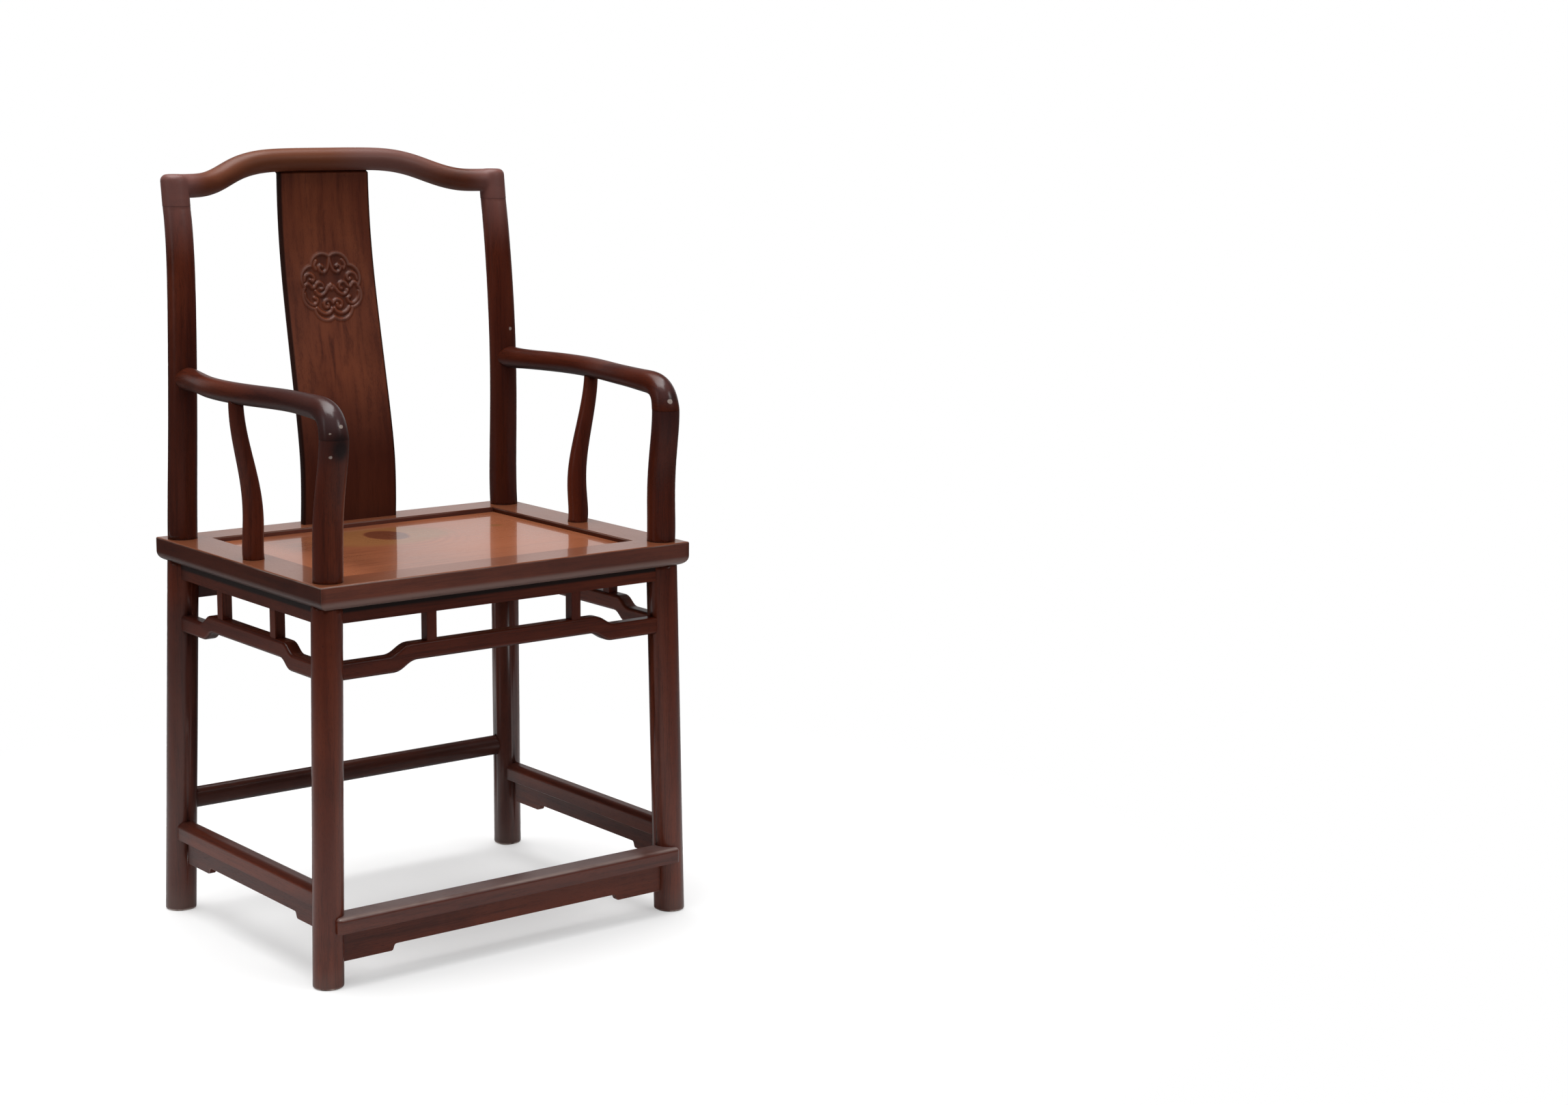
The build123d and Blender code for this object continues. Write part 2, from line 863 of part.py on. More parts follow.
def straight_bar(plane, centre, size, length, upper_round, lower_round):
    """Straight bar from a plane, with its long edges rounded."""
    with BuildPart() as bar:
        with BuildSketch(plane) as section:
            with Locations(centre):
                Rectangle(*size)
            corners = section.vertices().group_by(Axis.Y)
            fillet(corners[-1], upper_round)
            fillet(corners[0], lower_round)
        extrude(amount=length)
    return bar.part


def fitted_bar(body, posts, tenons, cuts=()):
    """Scribe a bar to its posts, add its tenons and cut what enters it."""
    with BuildPart() as bar:
        add(body)
        for post in posts:
            add(post, mode=Mode.SUBTRACT)
        for cut in cuts:
            add(cut, mode=Mode.SUBTRACT)
        for centre, size in tenons:
            add(tenon_block(centre, size))
    return bar.part


def both_ends_x(end, levels):
    """The two tenons of a front or back rail."""
    (x, y, z), size = tenon_along_x(end, *levels)
    return ((x, y, z), size), ((-x, y, z), size)


def both_ends_y(levels):
    """The two tenons of a right-hand side rail."""
    return tenon_along_y("front", *levels), tenon_along_y("rear", *levels)


def side_line(height):
    """X of a right-hand side rail, with the Y of its two ends, at one height."""
    front_x, front_y = leg_centre("front", height)
    rear_x, rear_y = leg_centre("rear", height)
    return (front_x + rear_x) / 2, front_y, rear_y


under_rail_middle = (under_rail_low + frame_underside) / 2
hump_middle = hump_low + hump_height / 2

front_x, front_y = leg_centre("front", under_rail_middle)
front_elevation = Plane.XZ.offset(-front_y)
front_struts = strut_pair(front_elevation, long_strut_spacing)
front_under_rail = straight_bar(
    Plane.YZ.offset(-front_x),
    (front_y, under_rail_middle),
    (under_rail_depth, under_rail_height),
    2 * front_x,
    *under_rail_rounds,
)
front_hump = hump_bar(front_elevation, front_x, long_hump_step)
under_rail_tenons = both_ends_x("front", under_rail_levels)
hump_tenons = both_ends_x("front", hump_levels)
save(fitted_bar(front_under_rail, front_bodies, under_rail_tenons, front_struts), "under_rail_front")
save(fitted_bar(front_hump, front_bodies, hump_tenons, front_struts), "hump_rail_front")
save(front_struts[0], "strut_front_left")
save(front_struts[1], "strut_front_right")

back_rail_middle = sum(back_rail_levels) / 2
back_x, back_y = leg_centre("rear", back_rail_middle)
back_rail = straight_bar(
    Plane.YZ.offset(-back_x),
    (back_y, back_rail_middle),
    (under_rail_depth, back_rail_height),
    2 * back_x,
    *under_rail_rounds,
)
save(fitted_bar(back_rail, rear_bodies, both_ends_x("rear", back_rail_levels)), "under_rail_back")

right_posts = (front_body, rear_body)
side_x, side_front_y, side_rear_y = side_line(hump_middle)
side_middle = (side_x, (side_front_y + side_rear_y) / 2, 0)
side_length = side_rear_y - side_front_y
side_elevation = Plane(origin=side_middle, x_dir=(0, 1, 0), z_dir=(1, 0, 0))
side_struts = strut_pair(side_elevation, side_strut_spacing)
side_under_rail = straight_bar(
    Plane.XZ.offset(-side_rear_y),
    (side_x, under_rail_middle),
    (under_rail_depth, under_rail_height),
    side_length,
    *under_rail_rounds,
)
side_hump = hump_bar(side_elevation, side_length / 2, side_hump_step)
save_pair(
    fitted_bar(side_under_rail, right_posts, both_ends_y(under_rail_levels), side_struts), "under_rail"
)
save_pair(fitted_bar(side_hump, right_posts, both_ends_y(hump_levels), side_struts), "hump_rail")
save_pair(side_struts[0], "strut_side_front")
save_pair(side_struts[1], "strut_side_rear")


# ================================================================ lower stretchers and aprons
def apron(plane, ends, steps, top, height):
    """Apron whose lower edge drops by a small rounded step near each end."""
    low = top - height
    foot = low - apron_step
    round_half = apron_step / 2
    level = ((-1, 0), (-1, 0))
    with BuildPart() as part:
        with BuildSketch(plane):
            with BuildLine():
                Line((ends[0], top), (ends[1], top))
                Line((ends[1], top), (ends[1], foot))
                Line((ends[1], foot), (steps[1] + round_half, foot))
                Spline((steps[1] + round_half, foot), (steps[1] - round_half, low), tangents=level)
                Line((steps[1] - round_half, low), (steps[0] + round_half, low))
                Spline((steps[0] + round_half, low), (steps[0] - round_half, foot), tangents=level)
                Line((steps[0] - round_half, foot), (ends[0], foot))
                Line((ends[0], foot), (ends[0], top))
            make_face()
        extrude(amount=apron_thickness / 2, both=True)
    return part.part


def apron_tongue(plane, ends, top, grow=0.0):
    """Tongue on top of an apron, or the groove for it."""
    length = ends[1] - ends[0] - 2 * tenon_shoulder
    with BuildPart() as part:
        with BuildSketch(plane):
            with Locations(((ends[0] + ends[1]) / 2, top)):
                Rectangle(length + 2 * grow, 2 * apron_tongue_height + 2 * grow)
        extrude(amount=apron_tongue_thickness / 2 + grow, both=True)
    return part.part


# Foot rest: laps the front of both front legs as far as their middles.
foot_rest_middle = foot_rest_low + foot_rest_thickness / 2
rest_x, rest_y = leg_centre("front", foot_rest_middle)
rest_size = (foot_rest_front_reach + foot_rest_back_reach, foot_rest_thickness)
rest_centre_y = rest_y + (foot_rest_back_reach - foot_rest_front_reach) / 2
with BuildPart() as foot_rest_bar:
    with BuildSketch(Plane.YZ.offset(-rest_x)):
        with Locations((rest_centre_y, foot_rest_middle)):
            Rectangle(*rest_size)
    extrude(amount=2 * rest_x)
    tips = foot_rest_bar.edges().filter_by(Axis.Z).group_by(Axis.Y)[0]
    fillet(tips, foot_rest_tip_round)
    front_edges = foot_rest_bar.faces().sort_by(Axis.Y)[0].edges().filter_by(Axis.X)
    fillet(front_edges.sort_by(Axis.Z)[-1], foot_rest_front_round)
    fillet(foot_rest_bar.edges().filter_by(Axis.X).group_by(Axis.Y)[-1], foot_rest_back_round)

apron_x, apron_y = leg_centre("front", foot_rest_low)
front_apron_plane = Plane.XZ.offset(-apron_y)
front_apron_ends = (-apron_x, apron_x)
front_apron_steps = (-front_apron_step_half, front_apron_step_half)
front_tongue_ends = (2 * leg_radius - apron_x, apron_x - 2 * leg_radius)
front_tongue_groove = apron_tongue(front_apron_plane, front_tongue_ends, foot_rest_low, fit)

with BuildPart() as apron_front:
    add(apron(front_apron_plane, front_apron_ends, front_apron_steps, foot_rest_low, front_apron_height))
    for post in front_bodies:
        add(post, mode=Mode.SUBTRACT)
    add(apron_tongue(front_apron_plane, front_tongue_ends, foot_rest_low))
save(apron_front.part, "apron_front")
save(
    fitted_bar(
        foot_rest_bar.part,
        front_bodies,
        both_ends_x("front", foot_rest_levels),
        [front_tongue_groove],
    ),
    "foot_rest",
)

# Side stretchers and their aprons.
low_side_x, low_front_y, low_rear_y = side_line(side_stretcher_low)
side_apron_plane = Plane(origin=(low_side_x, seat_middle_y, 0), x_dir=(0, 1, 0), z_dir=(1, 0, 0))
side_apron_ends = (
    low_front_y - seat_middle_y + leg_radius + apron_gap,
    low_rear_y - seat_middle_y - leg_radius - apron_gap,
)
side_bar = straight_bar(
    Plane.XZ.offset(-low_rear_y),
    (low_side_x, side_stretcher_low + side_stretcher_height / 2),
    (side_stretcher_width, side_stretcher_height),
    low_rear_y - low_front_y,
    side_stretcher_upper_round,
    side_stretcher_lower_round,
)
side_groove = apron_tongue(side_apron_plane, side_apron_ends, side_stretcher_low, fit)
save_pair(
    fitted_bar(side_bar, right_posts, both_ends_y(side_stretcher_levels), [side_groove]),
    "side_stretcher",
)
with BuildPart() as side_apron:
    add(
        apron(
            side_apron_plane, side_apron_ends, side_apron_steps, side_stretcher_low, side_apron_height
        )
    )
    add(apron_tongue(side_apron_plane, side_apron_ends, side_stretcher_low))
save_pair(side_apron.part, "apron")

# Back stretcher: a plain oval bar.
back_x, back_y = leg_centre("rear", back_stretcher_middle)
with BuildPart() as back_bar:
    with BuildSketch(Plane.YZ.offset(-back_x)):
        with Locations((back_y, back_stretcher_middle)):
            Ellipse(back_stretcher_width / 2, back_stretcher_height / 2)
    extrude(amount=2 * back_x)
save(
    fitted_bar(back_bar.part, rear_bodies, both_ends_x("rear", back_stretcher_levels)),
    "back_stretcher",
)
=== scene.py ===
"""Southern official's hat armchair: the wood, the carving, the eased edges and the studio."""

from functools import cache, reduce
from math import cos, pi, radians, sin

import bmesh
import bpy
import numpy as np
from bpy.props import FloatProperty, FloatVectorProperty, IntProperty, PointerProperty
from mathutils import Matrix, Vector


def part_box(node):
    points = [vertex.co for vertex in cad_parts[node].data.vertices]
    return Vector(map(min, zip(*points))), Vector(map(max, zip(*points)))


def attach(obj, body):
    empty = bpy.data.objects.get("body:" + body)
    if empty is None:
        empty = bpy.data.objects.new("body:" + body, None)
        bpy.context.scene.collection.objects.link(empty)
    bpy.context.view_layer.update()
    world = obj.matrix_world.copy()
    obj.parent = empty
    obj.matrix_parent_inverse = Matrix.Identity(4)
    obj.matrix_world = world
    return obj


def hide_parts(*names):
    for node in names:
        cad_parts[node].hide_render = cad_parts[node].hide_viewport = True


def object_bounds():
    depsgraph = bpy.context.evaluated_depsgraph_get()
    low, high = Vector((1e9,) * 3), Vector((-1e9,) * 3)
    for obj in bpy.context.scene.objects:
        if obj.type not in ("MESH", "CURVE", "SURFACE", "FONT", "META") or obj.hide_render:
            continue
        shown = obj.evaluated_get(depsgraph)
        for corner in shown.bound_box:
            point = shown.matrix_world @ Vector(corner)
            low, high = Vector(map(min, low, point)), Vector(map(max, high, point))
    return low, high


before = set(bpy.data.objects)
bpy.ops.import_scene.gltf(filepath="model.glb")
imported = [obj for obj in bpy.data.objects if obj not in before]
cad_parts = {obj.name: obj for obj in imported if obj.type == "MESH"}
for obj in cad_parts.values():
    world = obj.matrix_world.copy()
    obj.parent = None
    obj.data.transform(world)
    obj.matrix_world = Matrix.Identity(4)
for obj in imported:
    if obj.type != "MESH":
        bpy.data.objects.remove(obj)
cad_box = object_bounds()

bl_info = {
    "name": "Official's Hat Chair",
    "version": (1, 0, 0),
    "blender": (4, 5, 0),
    "location": "View3D > Sidebar > Chair",
    "description": "Dresses the frame of an official's hat armchair in polished hardwood",
    "category": "Add Mesh",
}

BODY = "root"
SIDES = ("left", "right")
SEAT_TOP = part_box("seat_rail_front")[1].z
BOARD_FOOT = SEAT_TOP
BOARD_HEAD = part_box("back_splat")[1].z
ARM_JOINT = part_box("arm_left")[0].z
CREST_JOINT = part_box("crest_rail")[0].z
FRAME_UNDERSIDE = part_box("seat_rail_front")[0].z
FRAME_HALF = 0.29
BOARDS_MEET = -0.11
TREAD_TOP = 0.0962
TREAD_FRONT = -0.252
CREST_CORNERS = ((-0.238, 0.185, 1.014), (0.238, 0.185, 1.014))
CORNER_REACH = 0.044


# ---- node trees
class Value:
    """A socket in a node tree. Arithmetic on it adds the Math nodes that work it out."""

    def __init__(self, bench, socket):
        self.bench = bench
        self.socket = socket

    def __add__(self, other):
        return self.bench.math("ADD", self, other)

    __radd__ = __add__

    def __sub__(self, other):
        return self.bench.math("SUBTRACT", self, other)

    def __rsub__(self, other):
        return self.bench.math("SUBTRACT", other, self)

    def __mul__(self, other):
        return self.bench.math("MULTIPLY", self, other)

    __rmul__ = __mul__

    def __truediv__(self, other):
        return self.bench.math("DIVIDE", self, other)

    def __rtruediv__(self, other):
        return self.bench.math("DIVIDE", other, self)

    def __abs__(self):
        return self.bench.math("ABSOLUTE", self)

    def most(self, other):
        """The larger of two values."""
        return self.bench.math("MAXIMUM", self, other)

    def smooth(self, low, high):
        """0 below low, 1 above high and an even step between; low may be the larger."""
        sockets = {"Value": self, "From Min": low, "From Max": high}
        return self.bench.node("ShaderNodeMapRange", {"interpolation_type": "SMOOTHSTEP"}, sockets)


class Bench:
    """A node tree being put together."""

    def __init__(self, tree):
        self.tree = tree

    def node(self, kind, settings=None, sockets=None, out=0):
        """Adds a node. Its settings go on first, then values or links; gives back an output."""
        made = self.tree.nodes.new(kind)
        for name, value in (settings or {}).items():
            setattr(made, name, value)
        for name, value in (sockets or {}).items():
            socket = made.inputs[name]
            if isinstance(value, Value):
                self.tree.links.new(value.socket, socket)
            else:
                socket.default_value = value
        if out is None or not made.outputs:
            return made
        return Value(self, made.outputs[out])

    def mix(self, share, first, second):
        """A colour between two: the first at 0, the second at 1."""
        settings = {"data_type": "RGBA", "clamp_factor": True}
        return self.node("ShaderNodeMix", settings, {0: share, 6: first, 7: second}, out=2)

    def math(self, operation, *terms):
        return self.node("ShaderNodeMath", {"operation": operation}, dict(enumerate(terms)))

    def vector(self, operation, *terms):
        out = "Value" if operation in ("LENGTH", "DOT_PRODUCT") else "Vector"
        terms = dict(enumerate(terms))
        return self.node("ShaderNodeVectorMath", {"operation": operation}, terms, out=out)

    def split(self, vector):
        """The three parts of a vector."""
        parts = self.node("ShaderNodeSeparateXYZ", None, {"Vector": vector}, out=None)
        return [Value(self, part) for part in parts.outputs]

    def rays(self):
        """What kind of ray is looking: the camera's, a gloss's or glass's."""
        path = self.node("ShaderNodeLightPath", out=None)
        kinds = ("Is Camera Ray", "Is Glossy Ray", "Is Transmission Ray")
        return [Value(self, path.outputs[kind]) for kind in kinds]

    def noise(self, place, scale=1.0, detail=2.0, roughness=0.5, distortion=0.0):
        sockets = {
            "Vector": place,
            "Scale": scale,
            "Detail": detail,
            "Roughness": roughness,
            "Distortion": distortion,
        }
        return self.node("ShaderNodeTexNoise", {"noise_dimensions": "3D"}, sockets)


def fresh(made):
    """A material or a world with its tree emptied, and the bench to fill it."""
    made.use_nodes = True
    made.node_tree.nodes.clear()
    return made, Bench(made.node_tree)


def rgba(colour, level=1.0):
    """A colour as a socket takes it, made darker or lighter by the level."""
    return (colour[0] * level, colour[1] * level, colour[2] * level, 1.0)


# ---- finishes
GRAIN_ORDER = {"x": (0, 1, 2), "y": (1, 0, 2), "z": (2, 0, 1)}

# Tints laid over the woods.
# painted sheen where the crest rail meets the back posts
PAINTED_JOINT_SHEEN = (0.21, 0.095, 0.084)
STAIN = (0.018, 0.009, 0.009)
HANDLED = (0.036, 0.015, 0.015)
# painted grey sheen on the left arm
PAINTED_GREY_SHEEN = (0.030, 0.017, 0.018)
# painted highlight on the arms' front corners
PAINTED_HIGHLIGHT = (0.085, 0.060, 0.066)
# painted shade on the back legs below the seat
COOL_SHADE = (0.038, 0.026, 0.025)
BACK_SHADE = (0.028, 0.017, 0.016)
DEEP_SHADE = (0.003, 0.002, 0.002)
FOOT_DUST = (0.10, 0.065, 0.055)
# warm middle of the crest, partly a painted highlight
CREST_WARM_AND_HIGHLIGHT = (0.17, 0.055, 0.023)
CREST_STREAK = (0.145, 0.042, 0.017)
# painted sheen right of the crest's middle
CREST_PAINTED_SHEEN = (0.15, 0.095, 0.105)
# painted sheen on the sides of the rails across the chair
RAIL_FRONT_SHEEN = (0.14, 0.090, 0.078)
# painted reflection on the seat frame's lower moulding
RAIL_CURVE_REFLECTION = (0.20, 0.13, 0.11)
TREAD = (0.185, 0.117, 0.106)
CARVED_RIDGE = (0.17, 0.078, 0.058)

# Spots as (centre, reach along each direction, strength).
ARM_WEAR_AND_HIGHLIGHT = (
    ((-0.2571, -0.26, 0.7376), (0.006, 0.02, 0.0045), 1.0),
    ((-0.2727, -0.26, 0.7293), (0.005, 0.02, 0.004), 0.9),
    # pale patch on the right arm's corner: a painted highlight
    ((0.231, -0.255, 0.755), (0.009, 0.02, 0.007), 0.6),
    ((0.2548, -0.255, 0.7342), (0.006, 0.02, 0.0055), 1.0),
    ((0.2281, -0.255, 0.7248), (0.004, 0.02, 0.004), 0.7),
)
ARM_STAINS = (
    ((-0.26, -0.26, 0.715), (0.017, 0.04, 0.022), 1.0),
    ((0.262, -0.254, 0.74), (0.01, 0.015, 0.012), 0.5),
)
# Polished front corners of the arms, where a painted highlight is also laid.
ARM_POLISH_AND_HIGHLIGHT = (
    ((-0.262, -0.246, 0.75), (0.032,) * 3, 1.0),
    ((0.259, -0.246, 0.75), (0.032,) * 3, 1.0),
)
POST_STAINS = (
    ((-0.26, -0.26, 0.709), (0.017, 0.04, 0.022), 1.0),
)
POST_RUBS = (
    ((-0.2724, -0.26, 0.6992), (0.005, 0.02, 0.005), 1.0),
    ((0.2621, 0.165, 0.8008), (0.005, 0.02, 0.005), 0.8),
    ((0.2643, 0.165, 0.7701), (0.004, 0.02, 0.005), 0.7),
    ((-0.29, 0.2, 0.075), (0.008, 0.012, 0.008), 0.7),
)


class Timber:
    """One polished hardwood, grain along one direction of the chair."""

    # Waves per metre along the grain and across it.
    FIGURE = (2.2, 13.0)
    RIBBON = (3.4, 90.0)
    FIBRE = (26.0, 900.0)
    PORES = (120.0, 2300.0)
    CLOUD = 9.0

    def __init__(self, name, lie, tones, seed, open_pores=0.45):
        self.made, self.bench = fresh(bpy.data.materials.new(name))
        f = self.bench
        self.dark, self.body, self.light, self.worn = [rgba(tone) for tone in tones]

        self.place = f.node("ShaderNodeTexCoord", out="Object")
        parts = self.x, self.y, self.z = f.split(self.place)
        along, first, second = (parts[i] for i in GRAIN_ORDER[lie])

        def stretched(length, width):
            sockets = {"X": along * length + seed, "Y": first * width, "Z": second * width}
            return f.node("ShaderNodeCombineXYZ", None, sockets)

        self.figure = f.noise(stretched(*self.FIGURE), detail=3.0, distortion=0.9)
        self.ribbon = f.noise(stretched(*self.RIBBON), distortion=0.6)
        self.fibre = f.noise(stretched(*self.FIBRE), roughness=0.6)
        self.pores = f.noise(stretched(*self.PORES), detail=1.0).smooth(0.60, 0.72)
        self.cloud = f.noise(self.place, scale=self.CLOUD, detail=3.0, roughness=0.6)

        warmth = (self.figure * 0.95 + self.ribbon * 0.2 - 0.08).smooth(0.25, 0.8)
        colour = f.mix(warmth, self.body, self.light)
        veins = (self.ribbon * 0.55 + self.fibre * 0.55).smooth(0.58, 0.40) * 0.45
        colour = f.mix(veins, colour, self.dark)
        colour = f.mix(self.pores * open_pores, colour, rgba(self.dark, 0.35))
        grime = self.cloud.smooth(0.5, 0.28) * 0.3
        colour = f.mix(grime, colour, rgba(self.body, 0.55))
        facing = f.split(f.node("ShaderNodeNewGeometry", out="Normal"))[2]
        self.below, self.above = facing.smooth(-0.35, -0.9), facing.smooth(0.25, 0.6)
        # Painted shade: faces turned down are darkened.
        self.colour = f.mix(self.below * 0.75, colour, rgba(self.dark, 0.4))
        grain = self.ribbon * 0.35 + self.fibre * 0.30
        self.height = grain - self.pores * 0.55 + self.cloud * 0.5

    def away(self, centre, reach):
        """0 at a place on the chair and 1 at its reach along each direction."""
        offset = self.bench.vector("SUBTRACT", self.place, centre)
        return self.bench.vector("LENGTH", self.bench.vector("DIVIDE", offset, reach))

    def near(self, centre, reach):
        """1 around a place on the chair, falling to 0 at its reach."""
        return self.away(centre, reach).smooth(1.0, 0.3)

    def near_any(self, spots):
        """The nearest of several (centre, reach, strength) spots."""
        return reduce(Value.most, (self.near(*spot) * strength for *spot, strength in spots))

    def flecks(self, spots):
        """Small pale spots with broken edges."""
        share = self.near_any(spots) + (self.ribbon - 0.5) * 0.8 + (self.fibre - 0.5) * 0.5
        return share.smooth(0.35, 0.65)

    def tint(self, share, colour, level=1.0):
        self.colour = self.bench.mix(share, self.colour, rgba(colour, level))

    def oval(self, centre, reach):
        """0 in the middle of an oval and 1 on its line, a little uneven."""
        return self.away(centre, reach) + (self.figure - 0.5) * 0.3

    def seam(self, height, share=1.0):
        """Fine dark line of a closed joint."""
        line = abs(self.z - height).smooth(0.0012, 0.0003) * share
        self.tint(line * 0.35, self.dark, 0.6)

    def rub(self, share):
        """Pale, broken wear where the surface has been rubbed."""
        broken = (self.cloud * 0.7 + self.ribbon * 0.8).smooth(0.6, 0.9)
        self.tint(share * broken, self.worn)

    def finish(self, roughness, specular, coat, coat_roughness, bump=0.12):
        """Ends the tree with an uneven shine and the relief of the grain."""
        f = self.bench
        rough = roughness + (self.figure - 0.5) * 0.10 + (self.cloud - 0.5) * 0.12
        rough = rough + self.pores * 0.15 + self.below * 0.18
        relief = {"Strength": bump, "Distance": 0.0006, "Height": self.height}
        sockets = {
            "Base Color": self.colour,
            "Roughness": rough,
            "Specular IOR Level": specular,
            "Coat Weight": coat,
            "Coat Roughness": coat_roughness,
            "Normal": f.node("ShaderNodeBump", None, relief),
        }
        shader = f.node("ShaderNodeBsdfPrincipled", None, sockets)
        f.node("ShaderNodeOutputMaterial", None, {"Surface": shader})
        return self.made


def frame_tones(scale=1.0):
    """Vein, body, glow and worn tones of the frame's wood, the first three scaled."""
    colours = bpy.context.scene.chair_colours
    scaled = (rgba(tone, scale) for tone in (colours.vein, colours.body, colours.glow))
    return *scaled, colours.worn


def paint_joint_sheen(wood):
    """Painted pale sheen where the crest rail turns down onto the back posts."""
    place = wood.near((0.0, 0.24, 1.025), (1.0, 0.30, 0.125))
    share = place * abs(wood.x).smooth(0.205, 0.245) * wood.cloud.smooth(0.1, 0.5)
    wood.tint(share * 0.62, PAINTED_JOINT_SHEEN)


def post_wood(lie):
    """Legs and posts: the back ones darker above the seat, the left arm's post stained."""
    wood = Timber("post_wood", lie, frame_tones(), 3.1)
    behind = wood.y.smooth(0.10, 0.15) * wood.z.smooth(0.88, 0.70) * wood.z.smooth(0.48, 0.54)
    wood.tint(behind * 0.5, wood.dark)
    front = wood.y.smooth(-0.19, -0.21)
    wood.tint(front * wood.z.smooth(ARM_JOINT - 0.06, ARM_JOINT) * 0.6, HANDLED)
    wood.seam(ARM_JOINT, front)
    wood.seam(CREST_JOINT)
    # Painted sheen round the crest joint.
    paint_joint_sheen(wood)
    # Painted shade on the back legs below the seat.
    lower = wood.y.smooth(0.10, 0.16) * wood.z.smooth(0.47, 0.42)
    wood.tint(lower * 0.4, COOL_SHADE)
    wood.tint(wood.near_any(POST_STAINS), STAIN)
    wood.tint(wood.flecks(POST_RUBS) * 0.8, wood.worn)
    foot = wood.z.smooth(0.05, 0.0) * wood.cloud.smooth(0.3, 0.6)
    wood.tint(foot * 0.5, FOOT_DUST)
    wood.rub(wood.z.smooth(0.004, 0.001) * wood.cloud.smooth(0.35, 0.5) * 0.9)
    return wood.finish(0.30, 0.28, wood.z.smooth(0.60, 0.12) * 0.4 + 0.05, 0.16)


def arm_wood(lie):
    """Arms: a painted grey sheen on the left one; both polished by hands at their front corners,
    with painted highlights there.
    """
    wood = Timber("arm_wood", lie, frame_tones(0.72), 7.7)
    # Painted grey sheen on the left arm's front half.
    grey_sheen = wood.x.smooth(0.05, -0.05) * wood.y.smooth(0.05, -0.15)
    wood.tint(grey_sheen * 0.55, PAINTED_GREY_SHEEN)
    polish_and_highlight = wood.near_any(ARM_POLISH_AND_HIGHLIGHT)
    # Painted highlight on the polished corners.
    wood.tint(polish_and_highlight * 0.3, PAINTED_HIGHLIGHT)
    wood.seam(ARM_JOINT)
    stain = wood.near_any(ARM_STAINS)
    wood.tint(stain, STAIN)
    # Worn spots, and a painted highlight on the right arm's corner.
    wood.tint(wood.flecks(ARM_WEAR_AND_HIGHLIGHT) * 0.8, wood.worn)
    coat = polish_and_highlight * (1 - stain) * 0.55 + 0.02
    return wood.finish(0.34 - polish_and_highlight * 0.06, 0.18, coat, 0.22)


def crest_wood(lie):
    """Crest rail: warm in the middle, partly as a painted highlight, with a painted sheen right of
    it.
    """
    wood = Timber("crest_wood", lie, frame_tones(0.9), 11.9)
    out = abs(wood.x)
    # Warmer middle: partly the wood's tone, partly a painted highlight.
    wood.tint(out.smooth(0.22, 0.12) * 0.5, CREST_WARM_AND_HIGHLIGHT)
    streak = out.smooth(0.245, 0.20) * wood.figure.smooth(0.3, 0.6)
    wood.tint(streak * 0.7, CREST_STREAK)
    # Painted sheen right of the crest's middle.
    painted_sheen = wood.near((0.10, 0.24, 1.055), (0.11, 0.30, 0.06))
    wood.tint(painted_sheen * 0.35, CREST_PAINTED_SHEEN)
    # Painted sheen round the crest joint.
    paint_joint_sheen(wood)
    wood.seam(CREST_JOINT)
    return wood.finish(0.42, 0.25, 0.05, 0.25)


def rail_wood(lie):
    """Seat frame: its upper face is as bright and glossy as the seat board.

    The rails that run across the chair have the glossier sides; as painted light and shade, they
    are painted brighter and the side rails darker.
    """
    colours = bpy.context.scene.chair_colours
    # Painted light and shade: the rails across the chair are lighter copies of the wood, the side
    # rails darker ones.
    tones, curve, sides = (1.25, 0.45, 0.35) if lie == "x" else (0.5, 0.12, 0.02)
    wood = Timber(f"seat_rail_wood_{lie}", lie, frame_tones(tones), 5.3)
    top = wood.z.smooth(SEAT_TOP - 0.0016, SEAT_TOP - 0.0002)
    streak = (wood.figure * 0.6 + wood.ribbon * 0.6).smooth(0.3, 0.8)
    seat = wood.bench.mix(streak, rgba(colours.rail_top), rgba(colours.seat_body))
    wood.colour = wood.bench.mix(top, wood.colour, seat)
    wood.rub(wood.z.smooth(SEAT_TOP - 0.0028, SEAT_TOP - 0.0014) * (1 - top) * 0.55)
    # Painted sheen on the sides of the rails across the chair.
    if lie == "x":
        wood.tint((1 - top) * 0.22, RAIL_FRONT_SHEEN)
    # Painted reflection on the lower curved moulding.
    moulding_reflection = wood.z.smooth(FRAME_UNDERSIDE + 0.0135, FRAME_UNDERSIDE + 0.009)
    wood.tint(moulding_reflection * curve, RAIL_CURVE_REFLECTION)
    for x in (-FRAME_HALF, FRAME_HALF):
        for y in (cad_box[0].y, cad_box[1].y):
            corner = wood.near((x, y, SEAT_TOP - 0.012), (0.010, 0.010, 0.020))
            wood.tint(corner * (1 - top) * 0.5, wood.dark)
    wood.height = wood.height * (1 - top * 0.8)
    return wood.finish(0.32, 0.2, top * (0.66 - sides) + sides, 0.06)


